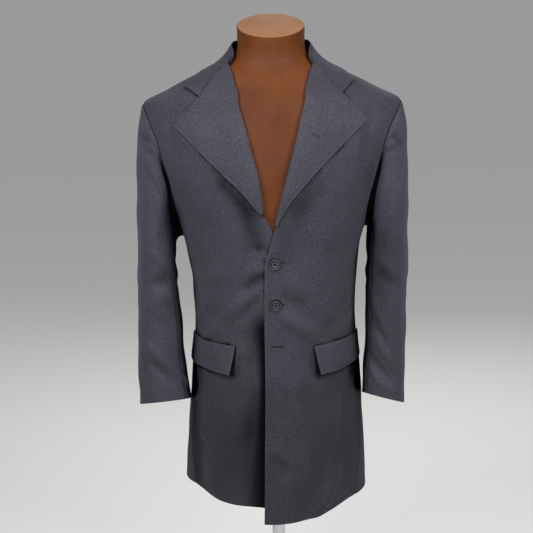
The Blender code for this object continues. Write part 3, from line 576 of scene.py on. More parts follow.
def makePanel(name, node, side, front, surface):
    angle, height, lower = panelGrid(side, front)
    if node == "back_right":
        below = ease(-height[:, :1], -laps["ventTop"], laps["ventSpread"] - laps["ventTop"])
        reach = laps["ventUnder"] / column(worn["rows"], 1, height[:, :1])
        angle = angle - below * reach * np.linspace(1, 0, angle.shape[1]) ** 3
    angle = seamBack(angle, height, side, front, lower)
    skin = surface(angle, height)
    square = normals(surface, angle, height)
    fromInner, fromOuter, fromHem, fromTop = edgeDistances(skin)
    row = np.arange(len(skin))[:, None]
    neck = row >= lower - 1 + finePieces["rollRows" if front else "backRows"]
    free = (row < lower - 1) if front else (height[:, :1] < laps["ventTop"])
    relief = seamDip(fromOuter) + seamDip(fromTop) + turnedEdge(fromHem)
    relief = relief + np.where(free, turnedEdge(fromInner), 0) + np.where(neck, seamDip(fromInner), 0)
    if front:
        relief = relief + np.where(free, stitchDip(fromInner), 0)
    else:
        relief = relief + np.where(~free & ~neck, seamDip(fromInner), 0)
    outer = skin + relief[..., None] * square
    if front:
        line = pathAt(outer[:lower], fromInner[:lower], cloth["stitchIn"])
        stitchLines.append((name + "Edge", line[2:]))
    inner = skin - cloth["wall"] * square
    rub = np.maximum(rubbed(fromHem), np.where(free, rubbed(fromInner), 0))
    joined = np.where(row >= lower, fromOuter / cloth["armGap"], fromOuter / cloth["sideGap"])
    gap = np.minimum(joined, np.where(neck, np.inf, fromTop / cloth["sideGap"]))
    return makeShell(name, node, outer, inner, side * fromInner, height, rub, gap)


for side, word, surface, behind in ((1, "left", frontLeft, backLeft), (-1, "right", frontRight, body)):
    makePanel("front" + word.title(), "front_" + word, side, True, surface)
    makePanel("back" + word.title(), "back_" + word, side, False, behind)
print("fronts and backs made")


# lapels, collar and flaps

folds = {
    "rollRadius": 0.0006, "puff": 0.0030, "puffNearRoll": 0.6, "puffNearBreak": 0.8, "notch": 0.55,
    "rollColumns": 8, "leaf": 14, "tip": 14, "lapelRows": 84, "ease": 0.0010, "stand": 8, "leafFrom": 0.03,
    "middleStart": (0.0900, -0.052, 1.262),
    # the fold and the middle of the outer leaf, from just behind the gorge to the centre back
    "collarRows": (
        ((0.0700, -0.034, 1.288), (0.0880, -0.040, 1.268)),
        ((0.0730, -0.010, 1.301), (0.0910, -0.010, 1.273)),
        ((0.0695, 0.022, 1.308), (0.0860, 0.030, 1.277)),
        ((0.0450, 0.055, 1.311), (0.0520, 0.071, 1.280)),
        ((0.0, 0.070, 1.312), (0.0, 0.085, 1.281)),
    ),
    "collarEdge": ((72.0, 1.249), (90.0, 1.2592), (120.0, 1.2575), (150.0, 1.2565), (180.0, 1.257)),
}
leafSteps = crowd(folds["leaf"], 1, 10, 0.024)
tipSteps = crowd(folds["tip"], 1, 10, 0.026)


def lapelTop(side):
    shape = panels[side]
    seam = along(shape["gorge"], leafSteps)
    free = along([shape["gorge"][-1], shape["lapel"][-1]], tipSteps)
    notch = folds["notch"]
    fractions = np.concatenate([notch * leafSteps, notch + (1 - notch) * tipSteps[1:]])
    return fractions, np.concatenate([seam, free[1:]])


def lapelWalls(side, surface, smooth):
    shape = panels[side]
    up = crowd(folds["lapelRows"], 1, 10)
    rollHeights = [row[0] for row in shape["roll"]]
    rollAngles = [float(angleOn(row[1], row[0], side)) for row in shape["roll"]]
    angles, heights = neckLimit(side, rollAngles, rollHeights, up)
    angles = side * angles
    edge = surface(angles, heights)
    square = normals(surface, angles, heights)
    beyond = unit(np.cross(np.gradient(edge, axis=0), square)) * -side
    radius, wall = folds["rollRadius"], cloth["wall"]
    centre = edge + cloth["seam"] * beyond + radius * square
    outer, inner = [], []
    for bend in np.linspace(-pi / 2, pi / 2, folds["rollColumns"] + 1):
        ray = np.cos(bend) * beyond + np.sin(bend) * square
        outer.append(centre + (radius + wall) * ray)
        inner.append(centre + radius * ray)
    roll = np.stack([np.sin(side * angles) * halfWidth(heights, angles), heights], axis=-1)
    rim = along(shape["lapel"], up)
    split, top = lapelTop(side)
    for fraction, atTop in zip(split[1:], top[1:]):
        place = mix(roll, rim, fraction)
        place = place + (up**2)[:, None] * (atTop - mix(roll[-1], rim[-1], fraction))
        angle = side * angleOn(place[:, 0], place[:, 1], side)
        puff = np.sin(pi * fraction ** folds["puffNearRoll"]) * np.sin(pi * up ** folds["puffNearBreak"])
        lift = 2 * radius + folds["puff"] * puff[:, None]
        skin = surface(angle, place[:, 1])
        away = normals(surface, angle, place[:, 1])
        # the leaf bridges the troughs under it
        bridged = np.clip(((smooth(angle, place[:, 1]) - skin) * away).sum(axis=-1), 0, None)
        lift = lift + (ease(fraction, 0.0, 0.3) * bridged)[:, None]
        inner.append(skin + lift * away)
        outer.append(skin + (lift + wall) * away)
    return np.stack(outer, axis=1), np.stack(inner, axis=1)


def makeLapel(name, node, side, outer, inner):
    fromRoll, fromRim, _, fromTop = edgeDistances(outer)
    seamColumns = folds["rollColumns"] + len(leafSteps)
    beyondNotch = np.arange(outer.shape[1]) >= seamColumns - 1
    square = unit(outer - inner)
    relief = turnedEdge(fromRim) + stitchDip(fromRim)
    free = turnedEdge(fromTop) + stitchDip(fromTop) * (fromRim > cloth["cornerClear"])
    relief = relief + np.where(beyondNotch, free, seamDip(fromTop))
    corner = (fromRim < cloth["stitchIn"]) | (beyondNotch & (fromTop < cloth["stitchIn"] * 0.6))
    relief = np.where(corner, np.maximum(relief, -cloth["turnedDepth"]), relief)
    outer = outer + relief[..., None] * square
    stitchLines.append((name + "Rim", pathAt(outer, fromRim, cloth["stitchIn"])[6:-5]))
    across = outer[:, seamColumns - 1:]
    topLine = pathAt(np.swapaxes(across, 0, 1), np.swapaxes(fromTop[:, seamColumns - 1:], 0, 1), cloth["stitchIn"])
    stitchLines.append((name + "Top", topLine[2:-6]))
    gap = np.where(beyondNotch, 9.0, fromTop / cloth["gorgeGap"])
    return makeShell(name, node, outer, inner, side * fromRoll, outer[..., 2], rubbed(fromRim), gap)


def collarRows(side, lapelOuter, lapelInner):
    seam = slice(0, folds["rollColumns"] + len(leafSteps))
    row = np.gradient(lapelOuter[-1], axis=0)
    shift = (cloth["seam"] * unit(np.cross(lapelOuter[-1] - lapelInner[-1], row)) * side)[seam]
    firstOuter, firstInner = lapelOuter[-1, seam] + shift, lapelInner[-1, seam] + shift
    frontAngles, frontHeights = upperInner(side, True)
    backAngles, backHeights = upperInner(side, False)
    ahead, behind = finePieces["rollRows"], finePieces["backRows"]
    neckAngle = side * np.concatenate([frontAngles[ahead:], backAngles[behind:-1][::-1]])
    neckHeight = np.concatenate([frontHeights[ahead:], backHeights[behind:-1][::-1]])
    stations = np.linspace(0, 1, len(neckAngle))[1:]
    neck = plainBody(neckAngle, neckHeight)
    square = normals(plainBody, neckAngle, neckHeight)
    beyond = unit(np.cross(np.gradient(neck, axis=0), square)) * -side
    start = (neck + cloth["neckSeam"] * beyond - cloth["wall"] / 2 * square)[1:]
    towards = np.array([side, 1, 1])
    half = folds["rollColumns"] // 2
    foldStart = (lapelOuter[-1, half] + lapelInner[-1, half]) / 2
    foldPlaces = np.array([towards * foldStart] + [row[0] for row in folds["collarRows"]])
    middles = np.array([folds["middleStart"]] + [row[1] for row in folds["collarRows"]])
    measure = np.linspace(0, 1, len(foldPlaces))
    fold = np.stack([follow(measure, axis, stations) for axis in foldPlaces.T], axis=-1) * towards
    middle = np.stack([follow(measure, axis, stations) for axis in middles.T], axis=-1) * towards
    tipAcross, tipHeight = panels[side]["collarTip"]
    edgeAngles = [float(angleOn(tipAcross, tipHeight, side))] + [radians(row[0]) for row in folds["collarEdge"]]
    edgeHeights = [tipHeight] + [row[1] for row in folds["collarEdge"]]
    reach = np.linspace(0, 1, len(stations))
    marks = np.linspace(0, 1, len(edgeAngles))
    edgeAngle = side * follow(marks, edgeAngles, reach)
    edgeHeight = follow(marks, edgeHeights, reach)
    lift = 2 * folds["rollRadius"] + cloth["wall"] / 2 + folds["ease"]
    edge = plainBody(edgeAngle, edgeHeight) + lift * normals(plainBody, edgeAngle, edgeHeight)
    outwards = unit((middle - fold) * np.array([1, 1, 0]))
    rise = np.array([0, 0, 1.0])
    radius = folds["rollRadius"] + cloth["wall"] / 2
    centre = fold - radius * rise
    strip = [start]
    for bend in np.linspace(pi, 0, folds["rollColumns"]):
        strip.append(centre + radius * (np.cos(bend) * outwards + np.sin(bend) * rise))
    launch = strip[-1]
    for t in leafSteps[1:]:
        strip.append((1 - t) ** 2 * launch + 2 * t * (1 - t) * middle + t * t * edge)
    whole = np.concatenate([((firstOuter + firstInner) / 2)[None], np.stack(strip, axis=1)])
    away = gridNormals(whole) * side
    away[1:, 0] = -square[1:]
    outer = whole + cloth["wall"] / 2 * away
    inner = whole - cloth["wall"] / 2 * away
    outer[0], inner[0] = firstOuter, firstInner
    return outer, inner


def withStand(points):
    # more columns between the neck seam and the fold
    steps = np.linspace(0, 1, folds["stand"] + 1)[:-1]
    stand = points[:, None, 0] + (points[:, None, 1] - points[:, None, 0]) * steps[:, None]
    return np.concatenate([stand, points[:, 1:]], axis=1)


lapels = {1: lapelWalls(1, frontLeft, plainFrontLeft), -1: lapelWalls(-1, frontRight, plainFrontRight)}
makeLapel("lapelLeft", "lapel_left", 1, *lapels[1])
makeLapel("lapelRight", "lapel_right", -1, *lapels[-1])
leftRows, rightRows = collarRows(1, *lapels[1]), collarRows(-1, *lapels[-1])
outer, inner = (withStand(np.concatenate([ahead, behind[-2::-1]])) for ahead, behind in zip(leftRows, rightRows))
fromNeck, fromRim, fromLeft, fromRight = edgeDistances(outer)
square = unit(outer - inner)
tips = np.minimum(fromLeft, fromRight)
relief = turnedEdge(fromRim) + stitchDip(fromRim) * (tips > cloth["cornerClear"]) + seamDip(fromNeck)
onLeaf = fromNeck > folds["leafFrom"]
relief = relief + np.where(onLeaf, seamDip(tips), 0)
outer = outer + relief[..., None] * square
stitchLines.append(("collarRim", pathAt(outer, fromRim, cloth["stitchIn"])[2:-2]))
gap = tips / cloth["gorgeGap"]
makeShell("collarCloth", "collar", outer, inner, fromLeft, fromNeck, rubbed(fromRim), gap)
print("lapels and collar made")

flaps = {
    "wall": 0.0024, "seated": 0.0009, "proud": 0.0100, "rear": 0.1, "belly": 0.0012,
    "down": 16, "downEnds": (3, 8, 0.020), "along": 24, "alongEnds": (8, 6, 0.014),
}
flapEdges = {}


def makeFlap(name, node, side, surface):
    corners = np.array(panels[side]["flap"])
    angles = angleOn(corners[:, 0], corners[:, 1], side)
    rearwards = crowd(flaps["along"], *flaps["alongEnds"])
    down = crowd(flaps["down"], *flaps["downEnds"])[::-1][:, None]
    angle = side * mix(mix(angles[0], angles[1], rearwards), mix(angles[2], angles[3], rearwards), down)
    height = mix(mix(corners[0, 1], corners[1, 1], rearwards), mix(corners[2, 1], corners[3, 1], rearwards), down)
    belly = flaps["belly"] * np.sin(pi * rearwards) * np.sin(pi * down**0.8)
    lift = flaps["seated"] + flaps["proud"] * down * mix(1.0, flaps["rear"], rearwards) + belly
    skin = surface(angle, height)
    away = normals(surface, angle, height)
    inner = skin + lift[..., None] * away
    outer = skin + (lift + flaps["wall"])[..., None] * away
    fromFront, fromRear, fromLow, fromTop = edgeDistances(outer)
    relief = turnedEdge(fromFront) + turnedEdge(fromRear) + turnedEdge(fromLow) + seamDip(fromTop)
    stitched = stitchDip(fromFront) * (fromLow > cloth["cornerClear"])
    stitched = stitched + stitchDip(fromLow) * (fromFront > cloth["cornerClear"])
    outer = outer + np.maximum(relief + stitched, -cloth["turnedDepth"])[..., None] * away
    stitchLines.append((name + "Front", pathAt(outer, fromFront, cloth["stitchIn"])[5:-2]))
    swapped = np.swapaxes(outer, 0, 1), np.swapaxes(fromLow, 0, 1)
    stitchLines.append((name + "Low", pathAt(*swapped, cloth["stitchIn"])[5:-5]))
    flapEdges[side] = skin[:, 0], skin[0]
    rub = rubbed(fromFront, fromLow, fromRear)
    makeShell(name, node, outer, inner, side * fromFront, height, rub, fromTop / cloth["sideGap"])


makeFlap("flapLeft", "flap_left", 1, frontLeft)
makeFlap("flapRight", "flap_right", -1, frontRight)
print("flaps made")


# sleeves

sleeves = {
    # height, outer and inner limit, middle of the depth, half the depth
    1: (
        (0.955, 0.2545, 0.1790, -0.006, 0.080), (0.916, 0.2545, 0.1755, -0.008, 0.077),
        (0.839, 0.2525, 0.1745, -0.014, 0.068), (0.782, 0.2505, 0.1726, -0.022, 0.062),
        (0.723, 0.2478, 0.1706, -0.031, 0.056), (0.686, 0.2470, 0.1668, -0.038, 0.052),
        (0.641, 0.2450, 0.1639, -0.046, 0.049), (0.610, 0.2432, 0.1620, -0.050, 0.047),
    ),
    -1: (
        (0.955, 0.2585, 0.1890, -0.006, 0.081), (0.916, 0.2600, 0.1885, -0.008, 0.079),
        (0.845, 0.2625, 0.1850, -0.014, 0.069), (0.789, 0.2635, 0.1800, -0.022, 0.062),
        (0.7295, 0.2647, 0.1760, -0.031, 0.056), (0.683, 0.2643, 0.1710, -0.038, 0.052),
        (0.636, 0.2637, 0.1650, -0.046, 0.048), (0.610, 0.2635, 0.1630, -0.049, 0.046),
    ),
    "cuff": {1: (0.631, 0.0105), -1: (0.631, 0.0050)},
    "tilt": 0.012, "top": {1: 0.945, -1: 0.926},
    "capOut": 0.050, "capDown": 0.070, "capUnder": 0.024, "capInto": 0.012,
    "arriveMiddle": 0.15, "arriveOuter": 0.10, "fullness": 0.0009,
    "frontSeam": 9 / 11 * pi, "backSeam": 14 / 11 * pi, "capRows": 46, "armRows": 74,
    "reach": 0.062, "wave": 0.0010, "calmEnds": (0.002, 0.014), "hollow": 0.012, "soft": 0.40,
    "rope": (0.011, 0.007),
    # where the cap tucks in beside the front: turns it comes and goes over, breadth at its top and per side
    "inFront": (1.00, 1.65, 2.9, 3.3), "tuckTop": 0.004, "tuckTurns": (1.6, 2.5), "tuck": {1: 0.0062, -1: 0.0076},
    # its shade in those breadths, then the armpit's shade: turns and distances
    "deepEnds": 6, "softFrom": 2, "softEnds": 10, "pitTurns": (2.4, 3.0, 3.9, 4.5), "pitReach": (0.030, 0.075),
    # turn in degrees and height of both ends, bow, half breadth, depth
    "creases": {
        -1: (
            (32, 1.137, 68, 1.127, 0.002, 0.0042, -0.0034), (36, 1.131, 72, 1.121, 0.002, 0.0045, 0.0016),
            (42, 1.125, 78, 1.115, 0.001, 0.0046, -0.0036), (46, 1.117, 80, 1.106, 0.002, 0.0060, 0.0018),
            (36, 1.105, 104, 1.022, -0.006, 0.009, -0.0022), (44, 1.110, 112, 1.036, -0.005, 0.010, 0.0018),
            (64, 1.040, 112, 0.965, -0.004, 0.012, 0.0018), (84, 0.926, 134, 0.892, 0.003, 0.013, 0.0032),
            (74, 0.872, 140, 0.878, -0.005, 0.012, -0.0038), (90, 0.842, 142, 0.832, 0.003, 0.013, 0.0022),
            (54, 0.752, 124, 0.692, 0.004, 0.012, 0.0030), (50, 0.732, 118, 0.672, 0.003, 0.011, -0.0024),
            (60, 0.815, 132, 0.772, 0.004, 0.014, -0.0018), (145, 0.694, 178, 0.676, 0.001, 0.0040, -0.0022),
            (145, 0.684, 176, 0.664, 0.001, 0.0040, 0.0016), (143, 0.671, 170, 0.651, 0.001, 0.0040, -0.0022),
            (20, 0.700, 26, 0.640, 0.002, 0.010, 0.0014),
        ),
        1: (
            (72, 1.126, 38, 1.138, 0.002, 0.0050, -0.0038), (76, 1.117, 44, 1.128, 0.001, 0.0055, 0.0020),
            (80, 1.106, 48, 1.113, 0.002, 0.0050, -0.0024), (146, 0.722, 70, 0.676, 0.005, 0.009, -0.0042),
            (130, 0.772, 54, 0.692, 0.005, 0.010, 0.0036), (144, 0.800, 80, 0.722, 0.004, 0.011, -0.0028),
            (140, 0.834, 74, 0.752, 0.004, 0.012, 0.0024), (140, 0.700, 76, 0.655, 0.003, 0.009, 0.0020),
            (128, 0.905, 66, 0.872, -0.003, 0.014, 0.0022), (134, 0.878, 72, 0.850, -0.003, 0.012, -0.0024),
            (60, 1.060, 108, 0.985, 0.004, 0.013, -0.0016), (50, 1.050, 98, 0.965, 0.004, 0.014, 0.0014),
        ),
        "both": (
            (-36, 0.935, -112, 0.905, 0.004, 0.011, -0.0034), (-44, 0.912, -118, 0.872, 0.004, 0.011, 0.0028),
            (-58, 0.882, -122, 0.836, 0.003, 0.011, -0.0034), (-64, 0.856, -120, 0.806, 0.003, 0.012, 0.0022),
            (-26, 0.752, -104, 0.702, -0.004, 0.011, -0.0028), (-36, 0.722, -112, 0.668, -0.004, 0.011, 0.0024),
            (-42, 1.136, -74, 1.116, 0.002, 0.0055, -0.0030), (-48, 1.122, -80, 1.104, 0.002, 0.006, 0.0018),
            (-60, 1.060, -104, 1.000, 0.004, 0.012, -0.0020), (152, 0.905, 214, 0.886, 0.003, 0.009, -0.0010),
            (152, 0.884, 210, 0.862, 0.003, 0.009, 0.0008), (156, 0.864, 216, 0.838, 0.003, 0.009, -0.0010),
            (8, 0.900, -24, 0.850, 0.003, 0.014, 0.0016), (14, 0.860, -20, 0.800, 0.003, 0.013, -0.0014),
        ),
    },
}


def armholeRing(turn, side):
    place = armhole(turn, side)
    square = normals(plainBody, *place)
    onwards = plainBody(*armhole(turn + 0.01, side)) - plainBody(*armhole(turn - 0.01, side))
    return body(*place), square, -side * unit(np.cross(onwards, square))


def armRing(turn, height, side):
    outer, inner, centre, depth = (column(sleeves[side], number, height) for number in (1, 2, 3, 4))
    middle, half = (outer + inner) / 2, (outer - inner) / 2
    return np.stack(
        [side * (middle + half * np.cos(turn)), centre - depth * np.sin(turn), height + 0 * turn], axis=-1
    )


def sleeveSurface(turn, length, side):
    # length is -1 at the armhole, 0 at the arm and 1 at the cuff
    cuff, slant = sleeves["cuff"][side]
    cap = np.clip(length + 1, 0, 1)[..., None]
    start, square, into = armholeRing(turn, side)
    end = armRing(turn, sleeves["top"][side] + 0 * turn, side)
    under = ((1 - np.cos(turn)) / 2)[..., None]
    over = np.array([side * sleeves["capOut"], 0, -sleeves["capDown"]])
    leave = (1 - under) * over + under * sleeves["capUnder"] * square + sleeves["capInto"] * into
    drop = -sleeves["arriveMiddle"] - sleeves["arriveOuter"] * np.cos(turn)
    arrive = np.stack([0 * turn, 0 * turn, drop], axis=-1)
    head = (
        (2 * cap**3 - 3 * cap**2 + 1) * start + (cap**3 - 2 * cap**2 + cap) * leave
        + (3 * cap**2 - 2 * cap**3) * end + (cap**3 - cap**2) * arrive
    )
    low = cuff - slant * np.cos(turn) + sleeves["tilt"] * np.sin(turn)
    arm = armRing(turn, mix(sleeves["top"][side], low, np.clip(length, 0, 1)), side)
    return np.where((length > 0)[..., None], arm, head)


def makeSleevePiece(name, node, side, first, last, columns):
    step = cloth["step"]
    turns = mix(first, last, crowd(columns, 4, 4, 0.005))
    capSteps = crowd(sleeves["capRows"], 4, 0, 0.008)
    armSteps = crowd(sleeves["armRows"], 0, 4, 0.005)[1:]
    turn, length = np.meshgrid(turns, np.concatenate([capSteps - 1, armSteps]))
    ahead = sleeveSurface(turn + step, length, side) - sleeveSurface(turn, length, side)
    halfGap = cloth["seam"] / 2 * step / np.linalg.norm(ahead, axis=-1)
    turn[:, 0] += halfGap[:, 0]
    turn[:, -1] -= halfGap[:, -1]
    skin = sleeveSurface(turn, length, side)
    across = sleeveSurface(turn + step, length, side) - sleeveSurface(turn - step, length, side)
    shift = np.where((length < 0) | (length >= 1), -step, step)
    shift = np.where(length <= -1, step, shift)
    downwards = (sleeveSurface(turn, length + shift, side) - skin) * np.sign(shift)[..., None]
    away = unit(np.cross(across, downwards)) * side
    points, square, into = armholeRing(turn[0], side)
    skin[0] = points + cloth["seam"] * into
    away[0] = square
    fromFirst, fromLast, fromTop, fromCuff = edgeDistances(skin)
    creases = [
        (radians(t0) * sleeves["reach"], h0, radians(t1) * sleeves["reach"], h1, bow, breadth, depth)
        for t0, h0, t1, h1, bow, breadth, depth in sleeves["creases"][side] + sleeves["creases"]["both"]
    ]
    flat, height = turn * sleeves["reach"], skin[..., 2]
    whole = 2 * pi * sleeves["reach"]
    field = deepened(creaseField(flat, height, creases) + creaseField(flat - whole, height, creases))
    # a slow ripple and a quicker one, down the arm
    ripple = 0.6 * np.sin(height * 47 + 2.1 * side + 2 * np.cos(turn)) + 0.5 * np.sin(height * 83 + 3 * np.sin(turn))
    calm = ease(fromTop, *sleeves["calmEnds"])
    inFront = between(turn, *sleeves["inFront"])
    reach = mix(sleeves["tuckTop"], sleeves["tuck"][side], ease(turn, *sleeves["tuckTurns"]))
    hollow = sleeves["hollow"] * inFront * np.exp(-(((fromTop - 0.9 * reach) / reach) ** 2))
    ropeAt, ropeHalf = sleeves["rope"]
    rope = np.clip(np.cos(turn), 0, 1) * np.exp(-(((fromTop - ropeAt) / ropeHalf) ** 2))
    away = unit(away)
    lift = calm * (field + sleeves["wave"] * ripple) + sleeves["fullness"] * rope - hollow
    base = skin + lift[..., None] * away
    relief = seamDip(fromFirst) + seamDip(fromLast) + seamDip(fromTop) + turnedEdge(fromCuff)
    outer = base + relief[..., None] * away
    # painted shade where the cap tucks in beside the front, and in the armpit, which the cloth's material reads
    deep = inFront * (1 - ease(fromTop, 0, sleeves["deepEnds"] * reach))
    soft = inFront * (1 - ease(fromTop, sleeves["softFrom"] * reach, sleeves["softEnds"] * reach))
    deep = np.maximum(deep, sleeves["soft"] * soft)
    pit = between(turn, *sleeves["pitTurns"]) * (1 - ease(fromTop, *sleeves["pitReach"]))
    shades[name] = np.maximum(deep, pit)
    gap = np.minimum(fromTop / cloth["armGap"], np.minimum(fromFirst, fromLast) / cloth["sideGap"])
    makeShell(name, node, outer, base - cloth["wall"] * away, fromFirst, height, rubbed(fromCuff), gap)


for side, word in ((1, "left"), (-1, "right")):
    start, seam, end = sleeves["backSeam"] - 2 * pi, sleeves["frontSeam"], sleeves["backSeam"]
    makeSleevePiece("sleeveUpper" + word.title(), "sleeve_upper_" + word, side, start, seam, 84)
    makeSleevePiece("sleeveUnder" + word.title(), "sleeve_under_" + word, side, seam, end, 26)
print("sleeves made")


# form and stand

form = {
    "clear": 0.008, "seat": 0.0010, "yoke": 0.0040, "bottom": 0.620, "armPlate": 0.010,
    "seatedFrom": 1.185, "seatedTo": 1.2125, "yokeFrom": 0.15, "yokeTo": 0.70,
    "columns": 120, "rows": 84, "slope": 0.35, "edge": 0.0025, "edgeTurns": (0.35, 0.7, 1.0),
    "foot": (0.0, 0.002, 0.006), "footEnd": 0.014, "footIn": 0.006,
    "neck": (
        (1.284, 0.0690, 0.0640, 0.0650), (1.294, 0.0640, 0.0635, 0.0610),
        (1.306, 0.0625, 0.0640, 0.0590), (1.336, 0.0630, 0.0645, 0.0595),
    ),
}


def addMesh(name, points, faces, smooth=40):
    mesh = bpy.data.meshes.new(name)
    mesh.from_pydata([tuple(point) for point in points], [], faces)
    shape = bmesh.new()
    shape.from_mesh(mesh)
    bmesh.ops.remove_doubles(shape, verts=shape.verts, dist=1e-6)
    bmesh.ops.recalc_face_normals(shape, faces=shape.faces)
    if shape.calc_volume(signed=True) < 0:
        bmesh.ops.reverse_faces(shape, faces=shape.faces)
    shape.to_mesh(mesh)
    shape.free()
    mesh.shade_smooth()
    mesh.set_sharp_from_angle(angle=radians(smooth))
    piece = bpy.data.objects.new(name, mesh)
    bpy.context.scene.collection.objects.link(piece)
    return piece


def ringFaces(rings, count):
    faces = []
    for r in range(rings - 1):
        for c in range(count):
            after = (c + 1) % count
            faces.append((r * count + c, r * count + after, (r + 1) * count + after, (r + 1) * count + c))
    return faces


def makeForm():
    angle = np.linspace(-pi, pi, form["columns"] + 1)[:-1]
    plateAngles, plateHeights = armhole(np.linspace(pi, 0, 60), 1)
    plateAcross = plainBody(plateAngles, plateHeights)[:, 0]
    rings, marks = [], []
    bottom = form["bottom"]
    lowest = bottom + np.array(form["foot"])
    others = np.linspace(bottom + form["footEnd"], worn["neck"], form["rows"])
    for height in np.concatenate([lowest, others]):
        heights = np.full(len(angle), height)
        fromSeam = np.abs(np.abs(angle) - pi / 2)
        seated = ease(height, form["seatedFrom"], form["seatedTo"])
        yoke = mix(form["seat"], form["yoke"], ease(fromSeam, form["yokeFrom"], form["yokeTo"]))
        away = cloth["wall"] + mix(form["clear"], yoke, seated)
        away = away + form["footIn"] * np.clip(1 - (height - bottom) / form["footIn"], 0, 1) ** 2
        ring = plainBody(angle, heights) - away[:, None] * normals(plainBody, angle, heights)
        if height < worn["shoulder"]:
            ring[:, 2] = height
        plate = follow(plateHeights, plateAcross, height) - form["armPlate"]
        ring[:, 0] = np.clip(ring[:, 0], -plate, plate)
        rings.append(ring)
        marks.append(height)
    controls, places = [rings[-2], rings[-1]], [marks[-2], marks[-1]]
    for height, half, front, back in form["neck"]:
        y = -np.where(np.cos(angle) > 0, front, back) * np.cos(angle)
        top = height + form["slope"] * y * (height == form["neck"][-1][0])
        controls.append(np.stack([half * np.sin(angle), y, top], axis=-1))
        places.append(height)
    controls = np.array(controls)
    steps = np.linspace(places[1], places[-1], 24)[1:]
    for height in steps:
        rings.append(np.array([
            [follow(places, controls[:, c, axis], height) for axis in range(3)] for c in range(len(angle))
        ]))
    # the top's edge is rounded, then its flat plate closes it
    rim, middle = rings[-1], np.array([0, -0.002, 0])
    normal = unit(np.array([0, -form["slope"], 1.0]))
    for turn in form["edgeTurns"]:
        inwards = unit((middle - rim) * np.array([1, 1, 0]))
        rings.append(rim + form["edge"] * ((1 - cos(turn * pi / 2)) * inwards + sin(turn * pi / 2) * normal))
    rings[-4] = rim - 0.2 * form["edge"] * normal
    points = np.concatenate(rings)
    count = len(angle)
    faces = ringFaces(len(rings), count)
    faces += [tuple(range(count)), tuple(range((len(rings) - 1) * count, len(rings) * count))]
    return addMesh("formTorso", points, faces)


formTorso = makeForm()
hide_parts("form_torso")

stand = {
    "pole": 0.0125, "base": 0.180, "thick": 0.010, "round": 0.003, "bevel": 0.0015, "gap": 0.0003, "steps": 96,
    "poleSteps": 64,
}


def turned(name, profile, steps, place=None, aim=None):
    # a profile of (radius, height) turned round Z, then set down where it belongs
    points = []
    for radius, height in profile:
        turns = np.linspace(0, 2 * pi, steps, endpoint=False)
        points += [(radius * cos(t), radius * sin(t), height) for t in turns]
    faces = ringFaces(len(profile), steps)
    faces += [tuple(range(steps)), tuple(range((len(profile) - 1) * steps, len(profile) * steps))]
    points = np.array(points)
    if aim is not None:
        turn = np.array(Vector(aim).to_track_quat("Z", "Y").to_matrix())
        points = points @ turn.T + np.array(place)
    return addMesh(name, points, faces, 35)


corner = [(stand["round"] * (1 - cos(t)), stand["round"] * (1 - sin(t))) for t in np.linspace(0, pi / 2, 6)]
outline = [(stand["base"] - stand["bevel"], 0.0), (stand["base"], stand["bevel"])]
outline += [(stand["base"] - into, stand["thick"] - down) for into, down in corner]
standBase = turned("standBase", outline + [(0.02, stand["thick"])], stand["steps"])
bottom, top = stand["thick"] + stand["gap"], form["bottom"] - stand["gap"]
poleLine = [(stand["pole"], height) for height in (bottom, (bottom + top) / 2, top)]
standPole = turned("standPole", poleLine, stand["poleSteps"])
for piece, node in ((standBase, "stand_base"), (standPole, "stand_pole")):
    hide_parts(node)
print("form and stand made")

# buttons

buttons = {
    "heights": {"buttonTop": 0.914, "buttonMiddle": 0.837, "buttonLower": 0.759},
    "radius": 0.010, "thick": 0.0032, "seat": 0.0009,
    "holeRadius": 0.00085, "holeApart": 0.0019, "thread": 0.00042, "steps": 64,
    "barSpots": 9, "barSides": 8, "shank": 0.0021, "shankSides": 16,
}
buttonPlaces = []
buttonNodes = {"buttonTop": "button_top", "buttonMiddle": "button_middle", "buttonLower": "button_lower"}


